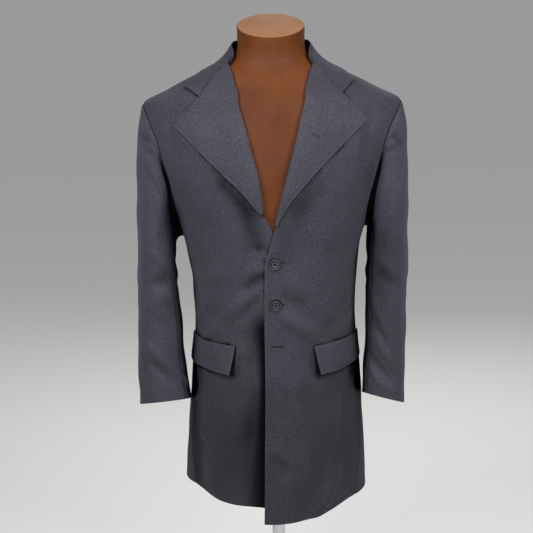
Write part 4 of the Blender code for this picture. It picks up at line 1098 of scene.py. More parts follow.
def makeButton(name, height):
    surface = plainFrontRight if name == "buttonLower" else plainFrontLeft
    place = np.array(0.0), np.array(height)
    away = normals(surface, *place)
    radius, half = buttons["radius"], buttons["thick"] / 2
    profile = (
        (0.0004, -half), (radius * 0.80, -half), (radius * 0.93, -half + 0.0004), (radius, half - 0.0014),
        (radius * 0.992, half - 0.0008), (radius * 0.96, half - 0.00025), (radius * 0.91, half),
        (radius * 0.84, half - 0.0001), (radius * 0.79, half - 0.0005), (radius * 0.76, half - 0.0008),
        (radius * 0.72, half - 0.0006), (radius * 0.66, half - 0.0003), (radius * 0.60, half - 0.00045),
        (radius * 0.50, half - 0.0009), (radius * 0.34, half - 0.00125), (0.0004, half - 0.0014),
    )
    button = turned(name, profile, buttons["steps"])
    tools = []
    for x in (-1, 1):
        for y in (-1, 1):
            apart = buttons["holeApart"]
            bpy.ops.mesh.primitive_cylinder_add(
                vertices=16, radius=buttons["holeRadius"], depth=0.01, location=(x * apart, y * apart, 0)
            )
            tools.append(bpy.context.object)
    for tool in tools:
        hole = button.modifiers.new("Hole", "BOOLEAN")
        hole.object, hole.operation, hole.solver = tool, "DIFFERENCE", "EXACT"
    graph = bpy.context.evaluated_depsgraph_get()
    cut = bpy.data.meshes.new_from_object(button.evaluated_get(graph))
    button.modifiers.clear()
    for tool in tools:
        bpy.data.objects.remove(tool)
    turn = np.array(Vector(away).to_track_quat("Z", "Y").to_matrix())
    centre = surface(*place) + (half + buttons["seat"]) * away
    button.data = cut
    for vertex in cut.vertices:
        vertex.co = Vector(turn @ np.array(vertex.co) + centre)
    out = [np.linalg.norm(np.cross(np.array(vertex.co) - centre, away)) / radius for vertex in cut.vertices]
    cut.attributes.new("ring", "FLOAT", "POINT").data.foreach_set("value", out)
    cut.shade_smooth()
    cut.set_sharp_from_angle(angle=radians(40))
    # two bars of thread, and a little of it round the shank
    points, faces = [], []
    spots, sides = buttons["barSpots"], buttons["barSides"]
    for y in (-1, 1):
        start = len(points)
        for t in np.linspace(-1, 1, spots):
            x = t * buttons["holeApart"] * 1.02
            z = half - 0.0016 + 0.0011 * (1 - t**6)
            for s in range(sides):
                turnS = s * pi / (sides / 2)
                y0 = y * buttons["holeApart"] + buttons["thread"] * cos(turnS) * 1.35
                points.append((x, y0, z + buttons["thread"] * sin(turnS)))
        faces += [tuple(start + v for v in face) for face in ringFaces(spots, sides)]
        last = start + (spots - 1) * sides
        faces += [tuple(range(start, start + sides)), tuple(range(last, last + sides))]
    ring, sides, shank = len(points), buttons["shankSides"], buttons["shank"]
    for z in (-half - 0.0006, -half + 0.0002):
        turns = [s * pi / (sides / 2) for s in range(sides)]
        points += [(shank * cos(t), shank * sin(t), z) for t in turns]
    faces += [tuple(ring + v for v in face) for face in ringFaces(2, sides)]
    faces += [tuple(range(ring, ring + sides)), tuple(range(ring + sides, ring + 2 * sides))]
    thread = addMesh(name + "Thread", np.array(points) @ turn.T + centre, faces)
    if name != "buttonLower":
        buttonPlaces.append(surface(*place))
    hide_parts(buttonNodes[name])
    return button, thread


buttonPieces = [makeButton(name, height) for name, height in buttons["heights"].items()]
print("buttons made")


# painted shade: how shut in each point of the cloth is, with more by height and in patches, which its material reads:
# 0 in the open, 1 deep in a gap
paintedShade = {
    "rays": 26, "reach": 0.15, "every": 2, "lift": 0.0012, "from": 0.20, "to": 0.62,
    # painted shade beside the upper front's edge, where the lower front runs in under it
    "underlap": {
        "at": -0.024, "from": 0.838, "to": 0.79,
        "breadth": (
            (0.42, 0.040), (0.521, 0.034), (0.579, 0.030), (0.655, 0.015), (0.694, 0.010), (0.74, 0.014),
            (0.789, 0.022), (0.83, 0.008),
        ),
    },
    # beside and below each flap's rear the skirt goes back into shade: |x| where that starts and
    # where it is full, then how much by height
    "flank": {
        1: (0.126, 0.145, ((0.42, 0.12), (0.60, 0.18), (0.655, 0.50), (0.69, 1.0), (0.74, 1.0), (0.76, 0.0))),
        -1: (0.126, 0.160, ((0.42, 0.62), (0.66, 0.66), (0.69, 1.0), (0.74, 1.0), (0.76, 0.0))),
    },
    # painted shade by height, darker low on the skirt and up towards the neck; away from the sleeves
    "heights": (
        (0.42, 0.22), (0.66, 0.20), (0.72, 0.02), (0.77, 0.0), (0.90, 0.0), (0.95, 0.08), (1.16, 0.09), (1.20, 0.19),
        (1.25, 0.33), (1.32, 0.37),
    ),
    # painted shade patches, along a line from one x and z to another: bow, half breadth and how much
    "shadePatches": {
        "frontRight": (
            (-0.103, 1.068, -0.022, 0.982, 0.0, 0.014, 0.55), (-0.100, 1.068, -0.084, 1.053, 0.0, 0.010, 0.25),
            (-0.062, 1.018, -0.024, 0.950, -0.003, 0.014, 0.45), (-0.021, 0.947, -0.034, 0.936, 0.0, 0.007, 0.40),
            (-0.020, 0.896, -0.058, 0.868, 0.002, 0.009, 0.50), (-0.028, 0.690, -0.055, 0.570, 0.0, 0.018, 0.36),
            (-0.075, 0.640, -0.070, 0.490, 0.0, 0.034, 0.14), (-0.062, 0.955, -0.020, 0.950, 0.0, 0.024, 0.18),
            (-0.030, 0.775, -0.052, 0.720, 0.0, 0.013, 0.36),
            (-0.069, 0.738, -0.074, 0.692, 0.0, 0.004, 0.40), (-0.052, 0.640, -0.056, 0.450, 0.0, 0.011, 0.16),
            (-0.100, 0.640, -0.095, 0.450, 0.0, 0.050, 0.12),
        ),
        "frontLeft": (
            (0.094, 1.062, 0.024, 0.990, 0.0, 0.017, 0.38), (0.056, 1.036, 0.042, 0.970, 0.0, 0.026, 0.14),
            (0.128, 0.590, 0.128, 0.480, 0.0, 0.020, 0.14), (-0.004, 0.975, 0.040, 0.945, 0.0, 0.028, 0.26),
            (0.186, 1.150, 0.170, 1.036, 0.0, 0.012, 0.16), (-0.022, 0.930, 0.040, 0.918, 0.0, 0.014, 0.16),
            (0.062, 0.746, 0.067, 0.699, 0.0, 0.004, 0.45),
        ),
        "sleeveUpperLeft": (
            (0.205, 1.010, 0.197, 0.770, 0.0, 0.022, 0.38), (0.220, 1.132, 0.240, 1.121, 0.0, 0.0034, 0.50),
            (0.226, 1.132, 0.237, 1.128, 0.0, 0.0030, 0.25),
        ),
        "sleeveUpperRight": (
            (-0.244, 1.140, -0.222, 1.129, -0.002, 0.0030, 0.55), (-0.237, 1.121, -0.216, 1.114, -0.002, 0.0030, 0.45),
            (-0.238, 1.065, -0.218, 1.008, 0.0, 0.0070, 0.16),
        ),
    },
    # breadths of the painted shadow beside each flap's front and under its low edge, and round the buttons
    "flapFront": (0.0098, 0.0016), "flapLow": 0.0030, "button": 0.0016, "buttonNear": 0.012,
    # the fronts' part beside the armhole is lit more than its rays say, and so are the lapels
    "open": {"share": 0.65, "across": (0.12, 0.15), "up": (0.90, 0.95)}, "lapelLess": 0.09,
}


def finer(line, values):
    # more points along a line, with the values they carry
    marks, steps = np.arange(len(line)), np.linspace(0, len(line) - 1, 4 * len(line))
    return np.stack([np.interp(steps, marks, axis) for axis in line.T], axis=-1), np.interp(steps, marks, values)


def findPaintedShade():
    points, faces = [], []
    for piece in list(clothPieces.values()) + [formTorso]:
        start = len(points)
        points += [tuple(vertex.co) for vertex in piece.data.vertices]
        faces += [tuple(start + v for v in face.vertices) for face in piece.data.polygons if len(face.vertices) < 5]
    tree = BVHTree.FromPolygons(points, faces)
    # an even spread of rays, more of them straight out than sideways
    count = np.arange(paintedShade["rays"])
    out = np.sqrt((count + 0.5) / paintedShade["rays"])
    around = count * pi * (3 - 5**0.5)
    rays = np.stack([out * np.cos(around), out * np.sin(around), np.sqrt(1 - out**2)], axis=-1)
    for name, piece in clothPieces.items():
        rows, columns = gridShapes[name]
        mesh = piece.data
        normal = np.empty(len(mesh.vertices) * 3, np.float32)
        mesh.vertices.foreach_get("normal", normal)
        place = np.empty(len(mesh.vertices) * 3, np.float32)
        mesh.vertices.foreach_get("co", place)
        normal = normal.reshape(-1, 3)[:rows * columns].reshape(rows, columns, 3).astype(float)
        place = place.reshape(-1, 3)[:rows * columns].reshape(rows, columns, 3).astype(float)
        someRows = np.unique(np.append(np.arange(0, rows, paintedShade["every"]), rows - 1))
        someColumns = np.unique(np.append(np.arange(0, columns, paintedShade["every"]), columns - 1))
        shut = np.zeros((len(someRows), len(someColumns)))
        for i, row in enumerate(someRows):
            for j, col in enumerate(someColumns):
                up = unit(normal[row, col])
                side = unit(np.cross(up, (0.31, 0.89, 0.33)))
                turned = rays @ np.stack([side, np.cross(up, side), up])
                origin = Vector(place[row, col] + paintedShade["lift"] * up)
                for ray in turned:
                    far = tree.ray_cast(origin, Vector(ray), paintedShade["reach"])[3]
                    if far is not None:
                        shut[i, j] += 1 - far / paintedShade["reach"]
        shut = ease(shut / paintedShade["rays"], paintedShade["from"], paintedShade["to"])
        shut = np.array([np.interp(np.arange(columns), someColumns, line) for line in shut])
        shut = np.array([np.interp(np.arange(rows), someRows, line) for line in shut.T]).T
        if name.startswith("front"):
            lit = paintedShade["open"]
            beside = ease(np.abs(place[..., 0]), *lit["across"]) * ease(place[..., 2], *lit["up"])
            shut = shut * (1 - lit["share"] * beside)
        shut = np.maximum(shut, shades.get(name, 0.0))
        if not name.startswith("sleeve"):
            shut = shut + column(paintedShade["heights"], 1, place[..., 2])
        if name.startswith("lapel"):
            shut = shut - paintedShade["lapelLess"]
        shadePatches = paintedShade["shadePatches"].get(name, ())
        shut = shut + creaseField(place[..., 0], place[..., 2], shadePatches) * (place[..., 1] < 0)
        gap = seamGaps[name].copy()
        if name.startswith("front"):
            side = 1 if name == "frontLeft" else -1
            x, z = place[..., 0], place[..., 2]
            start, full, amounts = paintedShade["flank"][side]
            flank = ease(side * x, start, full) * column(amounts, 1, z)
            shut = np.maximum(shut, flank * (place[..., 1] < 0.05))
            if side == -1:
                under = paintedShade["underlap"]
                beside = np.exp(-((np.clip(under["at"] - x, 0, 1) / column(under["breadth"], 1, z)) ** 2))
                shut = np.maximum(shut, beside * ease(-z, -under["from"], -under["to"]))
            # painted shadow beside each flap's front, widening downwards, and under its low edge
            front, low = flapEdges[side]
            wide = np.linspace(*paintedShade["flapFront"], len(front))
            for line, breadth in ((front, wide), (low, np.full(len(low), paintedShade["flapLow"]))):
                for spot, reach in zip(*finer(line, breadth)):
                    gap = np.minimum(gap, np.linalg.norm(place - spot, axis=-1) / reach)
            # painted shadow round the buttons on the upper front
            if side == 1:
                for centre in buttonPlaces:
                    apart = np.linalg.norm(place - centre, axis=-1) - buttons["radius"]
                    gap = np.where(apart < paintedShade["buttonNear"], apart / paintedShade["button"], gap)
        layer = mesh.attributes.new("gap", "FLOAT", "POINT")
        layer.data.foreach_set("value", np.tile(gap.ravel(), 2).astype(np.float32))
        layer = mesh.attributes.new("hollow", "FLOAT", "POINT")
        layer.data.foreach_set("value", np.tile(shut.ravel(), 2).astype(np.float32))


findPaintedShade()
print("hollows found")


class Value:
    # a socket in a sum: each operator adds its own Math node
    def __init__(self, palette, socket):
        self.palette, self.socket = palette, socket

    def math(self, operation, first, second=0.0):
        return self.palette.add("ShaderNodeMath", {"operation": operation}, {0: first, 1: second})

    def __add__(self, other):
        return self.math("ADD", self, other)

    def __radd__(self, other):
        return self.math("ADD", other, self)

    def __sub__(self, other):
        return self.math("SUBTRACT", self, other)

    def __rsub__(self, other):
        return self.math("SUBTRACT", other, self)

    def __mul__(self, other):
        return self.math("MULTIPLY", self, other)

    def __rmul__(self, other):
        return self.math("MULTIPLY", other, self)

    def __pow__(self, other):
        return self.math("POWER", self, other)


class Palette:
    def __init__(self, name, owner=None):
        self.owner = owner or bpy.data.materials.new(name)
        self.owner.use_nodes = True
        self.tree = self.owner.node_tree
        self.tree.nodes.clear()

    def add(self, kind, settings, sockets, out=0):
        node = self.tree.nodes.new(kind)
        for name, value in settings.items():
            if name == "stops":
                while len(node.color_ramp.elements) < len(value):
                    node.color_ramp.elements.new(0.5)
                for stop, (place, colour) in zip(node.color_ramp.elements, value):
                    stop.position, stop.color = place, (*colour, 1)
            else:
                setattr(node, name, value)
        for key, value in sockets.items():
            if isinstance(value, Value):
                self.tree.links.new(value.socket, node.inputs[key])
            else:
                node.inputs[key].default_value = value
        return Value(self, node.outputs[out]) 

    def blend(self, share, first, second):
        first, second = [(*c, 1) if isinstance(c, tuple) else c for c in (first, second)]
        return self.add("ShaderNodeMix", {"data_type": "RGBA"}, {0: share, 6: first, 7: second}, 2)

    def noise(self, place, scale, detail=2.0, rough=0.5, stretch=None, turn=0.0):
        if stretch is not None or turn:
            sockets = {"Vector": place, "Scale": stretch or (1, 1, 1), "Rotation": (0, 0, turn)}
            place = self.add("ShaderNodeMapping", {}, sockets)
        inputs = {"Vector": place, "Scale": scale, "Detail": detail, "Roughness": rough}
        return self.add("ShaderNodeTexNoise", {}, inputs)

    def spread(self, value, low, high):
        # low and high become 0 and 1, and what is past them is held there
        return self.add("ShaderNodeMapRange", {"clamp": True}, {0: value, 1: low, 2: high})

    def finish(self, sockets, shade=None):
        shader = self.add("ShaderNodeBsdfPrincipled", {}, sockets)
        if shade is not None:
            # shade blends in a near-black surface: painted shade
            depth = {"Base Color": (0.0007, 0.0007, 0.0009, 1), "Roughness": 0.9, "Specular IOR Level": 0.0}
            depth = self.add("ShaderNodeBsdfPrincipled", {}, depth)
            shader = self.add("ShaderNodeMixShader", {}, {0: shade, 1: shader, 2: depth})
        self.lay("ShaderNodeOutputMaterial", shader)
        return self.owner

    def lay(self, kind, shader):
        output = self.tree.nodes.new(kind)
        self.tree.links.new(shader.socket, output.inputs["Surface"])


worstedLook = {
    "dark": (0.0038, 0.0037, 0.0054), "light": (0.0545, 0.0532, 0.0692), "blue": (0.0115, 0.0122, 0.0200),
    "twill": 0.0011, "twillLean": 0.62, "fleck": 620, "mottle": 95, "cloud": 16,
    "sheen": 0.06, "sheenRough": 0.45, "sheenTint": (0.62, 0.58, 0.74), "rough": 0.80, "bump": 0.00030,
    # how strong the painted shade from the hollow and gap attributes is
    "hollow": 0.94, "gap": 0.92,
}


def makeWorsted(name, lift):
    look, palette = worstedLook, Palette(name)
    place = palette.add("ShaderNodeTexCoord", {}, {}, "Object")
    cut = palette.add("ShaderNodeUVMap", {"uv_map": "cut"}, {})
    across = palette.add("ShaderNodeSeparateXYZ", {}, {0: cut}, "X")
    up = palette.add("ShaderNodeSeparateXYZ", {}, {0: cut}, "Y")
    wander = palette.noise(cut, 160, 2)
    phase = (across + up * look["twillLean"]) * (2 * pi / look["twill"]) + wander * 5.0
    twill = palette.add("ShaderNodeMath", {"operation": "SINE"}, {0: phase}) * 0.5 + 0.5
    yarn = palette.noise(cut, 900, 2, 0.6, (1.0, 0.35, 1.0), 0.55)
    fleck = palette.spread(palette.noise(place, look["fleck"], 3, 0.62), 0.36, 0.66)
    mottle = palette.spread(palette.noise(place, look["mottle"], 3, 0.55), 0.30, 0.72)
    cloud = palette.spread(palette.noise(place, look["cloud"], 2, 0.5), 0.30, 0.70)
    rub = palette.add("ShaderNodeAttribute", {"attribute_name": "rub"}, {}, "Fac")
    slub = palette.spread(palette.noise(cut, 760, 1, 0.5, (1.0, 0.55, 1.0), 0.95), 0.36, 0.66)
    share = fleck * 0.62 + slub * 0.40 + mottle * 0.08 + cloud * 0.08 + yarn * 0.10 + twill * 0.06 - 0.24 + rub * 0.10
    colour = palette.blend(palette.spread(share, 0.0, 1.0), look["dark"], look["light"])
    colour = palette.blend(mottle * 0.35, colour, look["blue"])
    # painted shade: the hollow and gap attributes blend the cloth into near black
    hollow = palette.add("ShaderNodeAttribute", {"attribute_name": "hollow"}, {}, "Fac")
    gap = palette.add("ShaderNodeAttribute", {"attribute_name": "gap"}, {}, "Fac")
    seamShade = gap.math("POWER", 2.718, 0 - gap * gap)
    shade = gap.math("MAXIMUM", hollow * look["hollow"], seamShade * look["gap"])
    colour = palette.add("ShaderNodeVectorMath", {"operation": "SCALE"}, {0: colour, "Scale": lift})
    height = twill * 0.45 + yarn * 0.75 + fleck * 0.35
    bump = palette.add("ShaderNodeBump", {}, {"Strength": 0.75, "Distance": look["bump"], "Height": height})
    return palette.finish({
        "Base Color": colour, "Roughness": look["rough"] + fleck * 0.10 - rub * 0.06, "Normal": bump,
        "Sheen Weight": look["sheen"], "Sheen Roughness": look["sheenRough"],
        "Sheen Tint": (*look["sheenTint"], 1), "Specular IOR Level": 0.16,
    }, palette.spread(shade, 0.0, 1.0))


threadLook = {"colour": (0.0075, 0.0073, 0.0092), "worn": (0.022, 0.0213, 0.0265), "rough": 0.70}


def makeThread():
    palette = Palette("thread")
    place = palette.add("ShaderNodeTexCoord", {}, {}, "Object")
    patch = palette.spread(palette.noise(place, 240, 2), 0.35, 0.65)
    ply = palette.noise(place, 3000, 1)
    return palette.finish({
        "Base Color": palette.blend(patch, threadLook["colour"], threadLook["worn"]),
        "Roughness": threadLook["rough"] + patch * 0.1, "Sheen Weight": 0.03, "Sheen Roughness": 0.4,
        "Specular IOR Level": 0.15,
        "Normal": palette.add("ShaderNodeBump", {}, {"Strength": 0.4, "Distance": 0.0001, "Height": ply}),
    })


hornLook = {
    # distance from the middle, as a share of the radius, and colour there: painted highlight on the dish and rim,
    # painted shade in the middle, the groove and round the edge
    "rings": (
        (0.0, (0.003, 0.003, 0.004)), (0.24, (0.006, 0.006, 0.007)), (0.32, (0.036, 0.036, 0.040)),
        (0.52, (0.044, 0.044, 0.049)), (0.58, (0.003, 0.003, 0.004)), (0.78, (0.003, 0.003, 0.004)),
        (0.83, (0.048, 0.048, 0.053)), (0.92, (0.054, 0.054, 0.060)), (0.96, (0.001, 0.001, 0.002)),
    ),
    "streak": (0.012, 0.012, 0.015), "rough": 0.42, "coat": 0.03,
}


def makeHorn():
    palette = Palette("horn")
    place = palette.add("ShaderNodeTexCoord", {}, {}, "Object")
    ring = palette.add("ShaderNodeAttribute", {"attribute_name": "ring"}, {}, "Fac")
    # painted light and shade in rings from the middle
    turned = palette.add("ShaderNodeValToRGB", {"stops": hornLook["rings"]}, {0: ring})
    streak = palette.spread(palette.noise(place, 70, 3, 0.6, (1.0, 1.0, 4.5), 0.4), 0.40, 0.80)
    grain = palette.noise(place, 900, 2, 0.6)
    scratch = palette.noise(place, 1500, 2, 0.6, (0.2, 1.0, 1.0), 0.9)
    return palette.finish({
        "Base Color": palette.blend(streak * 0.5 + grain * 0.15, turned, hornLook["streak"]),
        "Roughness": hornLook["rough"] + grain * 0.18, "Coat Weight": hornLook["coat"] - streak * 0.02,
        "Coat Roughness": 0.25, "Specular IOR Level": 0.12,
        "Normal": palette.add("ShaderNodeBump", {}, {"Strength": 0.3, "Distance": 0.00008, "Height": scratch}),
    })


formLook = {
    "body": {"dark": (0.036, 0.0095, 0.0022), "light": (0.072, 0.021, 0.0055), "rough": 0.46, "shine": 0.06},
    # the top plate: the body's brown made lighter, painted light on a face turned up; it is also rougher
    "cap": {"dark": (0.094, 0.038, 0.014), "light": (0.136, 0.062, 0.026), "rough": 0.75, "shine": 0.20},
}


def makeFormSkin(name, look):
    palette = Palette(name)
    place = palette.add("ShaderNodeTexCoord", {}, {}, "Object")
    patch = palette.spread(palette.noise(place, 14, 3, 0.55), 0.30, 0.70)
    grain = palette.noise(place, 420, 3, 0.6)
    brush = palette.noise(place, 60, 3, 0.6, (1.0, 1.0, 0.15))
    relief = {"Strength": 0.35, "Distance": 0.0002, "Height": grain + brush * 0.6}
    return palette.finish({
        "Base Color": palette.blend(patch * 0.55 + grain * 0.25 + brush * 0.15, look["dark"], look["light"]),
        "Roughness": look["rough"] + grain * 0.12 - patch * 0.04, "Specular IOR Level": look["shine"],
        "Normal": palette.add("ShaderNodeBump", {}, relief),
    })


steelLook = {"colour": (0.56, 0.56, 0.57), "dull": (0.40, 0.40, 0.42), "rough": 0.30}


def makeSteel():
    palette = Palette("steel")
    place = palette.add("ShaderNodeTexCoord", {}, {}, "Object")
    flat = palette.add("ShaderNodeVectorMath", {"operation": "MULTIPLY"}, {0: place, 1: (1, 1, 0)})
    radius = palette.add("ShaderNodeVectorMath", {"operation": "LENGTH"}, {0: flat}, "Value")
    rings = palette.add("ShaderNodeCombineXYZ", {}, {"X": radius * 60.0, "Y": 0.0, "Z": 0.0})
    brushed = palette.noise(rings, 40, 4, 0.7)
    smudge = palette.spread(palette.noise(place, 22, 3, 0.55), 0.35, 0.70)
    return palette.finish({
        "Base Color": palette.blend(smudge * 0.6 + brushed * 0.3, steelLook["colour"], steelLook["dull"]),
        "Metallic": 1.0, "Roughness": steelLook["rough"] + smudge * 0.12 + brushed * 0.08,
        "Normal": palette.add("ShaderNodeBump", {}, {"Strength": 0.25, "Distance": 0.00008, "Height": brushed}),
    })


# a dark sheet across each buttonhole's opening: painted shade
def makeSlitShade():
    palette = Palette("slit")
    place = palette.add("ShaderNodeTexCoord", {}, {}, "Object")
    fray = palette.noise(place, 1800, 2)
    return palette.finish({
        "Base Color": palette.blend(fray, (0.0015, 0.0015, 0.0018), (0.006, 0.006, 0.007)), "Roughness": 0.9,
        "Specular IOR Level": 0.1,
    })


finishes = {
    "slit": makeSlitShade(),
    # the lapels and collar take the same worsted, 2% lighter: painted light
    "worsted": makeWorsted("worsted", 1.0), "facingLit": makeWorsted("facingLit", 1.02), "thread": makeThread(),
    "horn": makeHorn(), "formBody": makeFormSkin("formBody", formLook["body"]),
    "formCapLit": makeFormSkin("formCapLit", formLook["cap"]), "steel": makeSteel(),
}


def dress(piece, *names):
    piece.data.materials.clear()
    for name in names:
        piece.data.materials.append(finishes[name])


for piece in clothPieces.values():
    dress(piece, "facingLit" if piece.name.startswith(("lapel", "collar")) else "worsted")
for button, thread in buttonPieces:
    dress(button, "horn")
    dress(thread, "thread")
dress(standBase, "steel")
dress(standPole, "steel")
dress(formTorso, "formBody", "formCapLit")
# the flat top, facing up, takes the lighter brown: painted light
for face in formTorso.data.polygons:
    if face.center.z > 1.3 and face.normal.z > 0.75:
        face.material_index = 1
print("materials made")

# topstitching along the edges, and the worked buttonholes

stitching = {
    "seed": 11, "vary": (0.82, 1.12), "sides": 6, "rings": 4,
    "edge": {"Pitch": 0.0031, "Length": 0.0021, "Thickness": 0.00034},
    "hole": {"Pitch": 0.00062, "Length": 0.0017, "Thickness": 0.00030},
    # both ends of each buttonhole, x and z, and how far it gapes, the last one in the left lapel
    "holes": (
        (0.0010, 0.9150, 0.0190, 0.9165, 1.0), (-0.0005, 0.8375, 0.0170, 0.8390, 1.0),
        (-0.0080, 0.7590, 0.0135, 0.7590, 1.0), (0.0696, 1.1476, 0.0819, 1.1385, 0.2),
    ),
    "slit": 0.00080, "apart": 0.0013, "raised": 0.00022, "barOut": 0.0006, "barWide": 1.6,
}


def makeStitchTree():
    tree = bpy.data.node_groups.new("stitches", "GeometryNodeTree")
    tree.interface.new_socket("Geometry", in_out="INPUT", socket_type="NodeSocketGeometry")
    inputs = {"Pitch": "Float", "Length": "Float", "Thickness": "Float", "Seed": "Int", "Material": "Material"}
    for name, kind in inputs.items():
        tree.interface.new_socket(name, in_out="INPUT", socket_type="NodeSocket" + kind)
    tree.interface.new_socket("Geometry", in_out="OUTPUT", socket_type="NodeSocketGeometry")

    def add(kind, settings, sockets):
        node = tree.nodes.new(kind)
        for name, value in settings.items():
            setattr(node, name, value)
        for key, value in sockets.items():
            if isinstance(value, bpy.types.NodeSocket):
                tree.links.new(value, node.inputs[key])
            else:
                node.inputs[key].default_value = value
        return node

    given = add("NodeGroupInput", {}, {}).outputs
    path = add("GeometryNodeMeshToCurve", {}, {"Mesh": given["Geometry"]}).outputs[0]
    path = add("GeometryNodeResampleCurve", {"mode": "LENGTH"}, {"Curve": path, "Length": given["Pitch"]})
    ball = {"Segments": stitching["sides"], "Rings": stitching["rings"], "Radius": 1.0}
    ball = add("GeometryNodeMeshUVSphere", {}, ball).outputs["Mesh"]
    half = add("ShaderNodeMath", {"operation": "MULTIPLY"}, {0: given["Length"], 1: 0.5}).outputs[0]
    size = add("ShaderNodeCombineXYZ", {}, {0: given["Thickness"], 1: given["Thickness"], 2: half}).outputs[0]
    stitch = add("GeometryNodeTransform", {}, {"Geometry": ball, "Scale": size}).outputs[0]
    aim = add("GeometryNodeInputNamedAttribute", {"data_type": "FLOAT_VECTOR"}, {"Name": "aim"}).outputs["Attribute"]
    turn = add("FunctionNodeAlignRotationToVector", {"axis": "Z"}, {"Vector": aim}).outputs[0]
    low, high = stitching["vary"]
    vary = add("FunctionNodeRandomValue", {"data_type": "FLOAT"}, {"Seed": given["Seed"]})
    numbers = [socket for socket in vary.inputs if socket.type == "VALUE"]
    numbers[0].default_value, numbers[1].default_value = low, high
    chance = next(socket for socket in vary.outputs if socket.type == "VALUE")
    placed = {"Points": path.outputs[0], "Instance": stitch, "Rotation": turn, "Scale": chance}
    placed = add("GeometryNodeInstanceOnPoints", {}, placed).outputs[0]
    real = add("GeometryNodeRealizeInstances", {}, {"Geometry": placed}).outputs[0]
    done = add("GeometryNodeSetMaterial", {}, {"Geometry": real, "Material": given["Material"]}).outputs[0]
    add("NodeGroupOutput", {}, {0: done})
    return tree


def sew(name, tree, lines, sizes):
    # lines: points and the way the stitches there lie
    points, aims, edges = [], [], []
    for line, aim in lines:
        start = len(points)
        points += [tuple(p) for p in line]
        aims += [tuple(a) for a in aim]
        edges += [(start + i, start + i + 1) for i in range(len(line) - 1)]
    mesh = bpy.data.meshes.new(name + "Path")
    mesh.from_pydata(points, edges, [])
    mesh.attributes.new("aim", "FLOAT_VECTOR", "POINT").data.foreach_set("vector", np.array(aims).ravel())
    piece = bpy.data.objects.new(name, mesh)
    bpy.context.scene.collection.objects.link(piece)
    modifier = piece.modifiers.new("Stitches", "NODES")
    modifier.node_group = tree
    sockets = {item.name: item.identifier for item in tree.interface.items_tree if item.in_out == "INPUT"}
    for key, value in {**sizes, "Seed": stitching["seed"], "Material": finishes["thread"]}.items():
        modifier[sockets[key]] = value
    graph = bpy.context.evaluated_depsgraph_get()
    whole = bpy.data.meshes.new_from_object(piece.evaluated_get(graph))
    piece.modifiers.clear()
    piece.data = whole
    whole.name = name
    whole.shade_smooth()
    print(name, len(whole.polygons), "faces")
    return piece


def seenCloth():
    points, faces = [], []
    for piece in clothPieces.values():
        start = len(points)
        points += [tuple(vertex.co) for vertex in piece.data.vertices]
        faces += [tuple(start + v for v in face.vertices) for face in piece.data.polygons]
    return BVHTree.FromPolygons(points, faces)


def holeLines(tree):
    # the satin stitches round each buttonhole, and the slit between them
    lines, slits = [], []
    for x0, z0, x1, z1, opening in stitching["holes"]:
        spots, squares = [], []
        for t in np.linspace(0, 1, 15):
            place, square = tree.ray_cast(Vector((mix(x0, x1, t), -1, mix(z0, z1, t))), Vector((0, 1, 0)))[:2]
            spots.append(np.array(place))
            squares.append(-np.array(square) if square.y > 0 else np.array(square))
        spots, squares = np.array(spots), unit(np.array(squares).mean(axis=0))
        along = unit(spots[-1] - spots[0])
        over = unit(np.cross(squares, along))
        spots = spots + stitching["raised"] * squares
        for way in (-1, 1):
            side = spots + way * stitching["apart"] * over
            lines.append((side, np.broadcast_to(over, side.shape)))
        bar = stitching["apart"] * stitching["barWide"] * np.linspace(-1, 1, 5)[:, None]
        end = spots[-1] + stitching["barOut"] * along + bar * over
        lines.append((end, np.broadcast_to(along, end.shape)))
        width = opening * stitching["slit"] * np.sin(pi * np.linspace(0.04, 0.96, len(spots))) ** 0.5
        slits.append((spots + width[:, None] * over, spots - width[:, None] * over))
    return lines, slits


def tangents(line):
    return unit(np.gradient(line, axis=0))


stitchTree = makeStitchTree()
edgeStitches = sew("edgeStitches", stitchTree, [(line, tangents(line)) for _, line in stitchLines], stitching["edge"])
lines, slits = holeLines(seenCloth())
holeStitches = sew("holeStitches", stitchTree, lines, stitching["hole"])
points, faces = [], []
for upper, lower in slits:
    start, count = len(points), len(upper)
    points += [tuple(p) for p in upper] + [tuple(p) for p in lower]
    faces += [(start + i, start + i + 1, start + count + i + 1, start + count + i) for i in range(count - 1)]
# the slits are dark sheets laid in the openings, painted shade
holeSlitShade = addMesh("holeSlitShade", np.array(points), faces)
dress(holeSlitShade, "slit")
print("stitches made")
ridden = list(clothPieces.values()) + [formTorso, standBase, standPole, edgeStitches, holeStitches, holeSlitShade]
for button, thread in buttonPieces:
    ridden += [button, thread]
for piece in ridden:
    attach(piece, "root")

studio = {
    "floor": 300.0, "floorColour": (0.62, 0.616, 0.608), 
    "horizon": (0.325, 0.325, 0.325), "zenith": (0.60, 0.60, 0.61),
    "camera": (-0.0155, -2.3, 1.329), "look": 11.0, "roll": -1.0, "lens": 1217 / 533 * 36,
    # name: place, aim, width, height, watts
    "lights": {
        "keyLeft": ((-0.70, -0.95, 2.02), (0.0, -0.1, 1.0), 0.5, 0.6, 32),
        "keyRight": ((0.75, -0.92, 2.00), (0.0, -0.1, 1.0), 0.5, 0.6, 30),
        "front": ((0.0, -1.7, 1.55), (0.0, -0.1, 0.95), 0.6, 0.4, 20),
        "back": ((0.5, 2.2, 2.2), (0.0, 0.0, 0.9), 1.5, 1.5, 26),
    },
}


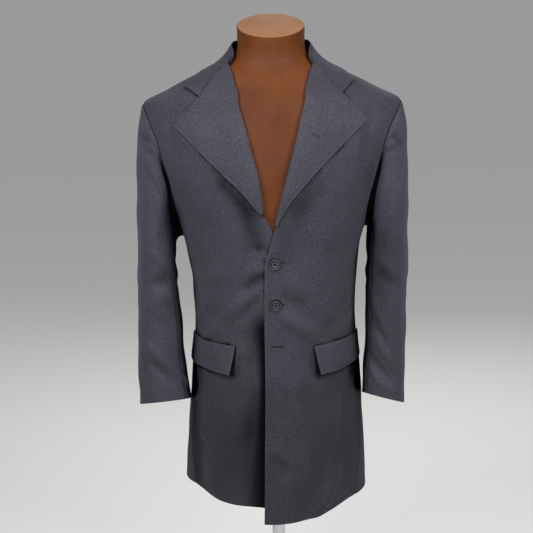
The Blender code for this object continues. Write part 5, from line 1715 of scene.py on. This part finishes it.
def makeStudio():
    mesh = bpy.data.meshes.new("floor")
    reach = studio["floor"]
    corners = [(-reach, -reach, 0), (reach, -reach, 0), (reach, reach, 0), (-reach, reach, 0)]
    mesh.from_pydata(corners, [], [(0, 1, 2, 3)])
    floor = bpy.data.objects.new("floor", mesh)
    bpy.context.scene.collection.objects.link(floor)
    palette = Palette("floorPaint")
    place = palette.add("ShaderNodeTexCoord", {}, {}, "Object")
    grain = palette.noise(place, 3, 2)
    colour = palette.blend(grain * 0.15, studio["floorColour"], tuple(0.9 * c for c in studio["floorColour"]))
    mesh.materials.append(palette.finish({"Base Color": colour, "Roughness": 0.9, "Specular IOR Level": 0.1}))
    world = bpy.data.worlds.new("studio")
    world.use_nodes = True
    sky = Palette("sky", world)
    towards = sky.add("ShaderNodeTexCoord", {}, {}, "Generated")
    rise = sky.spread(sky.add("ShaderNodeSeparateXYZ", {}, {0: towards}, "Z"), 0.02, 0.9)
    sky.lay("ShaderNodeOutputWorld", sky.add("ShaderNodeBackground", {}, {
        "Color": sky.blend(rise, studio["horizon"], studio["zenith"]), "Strength": 1.0,
    }))
    bpy.context.scene.world = world
    for name, (place, aim, width, height, watts) in studio["lights"].items():
        lamp = bpy.data.lights.new(name, "AREA")
        lamp.shape, lamp.size, lamp.size_y, lamp.energy = "RECTANGLE", width, height, watts
        light = bpy.data.objects.new(name, lamp)
        light.location = place
        light.rotation_euler = (Vector(aim) - Vector(place)).to_track_quat("-Z", "Y").to_euler()
        bpy.context.scene.collection.objects.link(light)
    lens = bpy.data.cameras.new("camera")
    lens.lens, lens.sensor_width, lens.sensor_fit = studio["lens"], 36, "HORIZONTAL"
    camera = bpy.data.objects.new("camera", lens)
    camera.matrix_world = (
        Matrix.Translation(studio["camera"]) @ Matrix.Rotation(radians(90 - studio["look"]), 4, "X")
        @ Matrix.Rotation(radians(studio["roll"]), 4, "Z")
    )
    bpy.context.scene.collection.objects.link(camera)
    bpy.context.scene.camera = camera
    bpy.context.scene.view_settings.view_transform = "Standard"


makeStudio()
print("studio made")
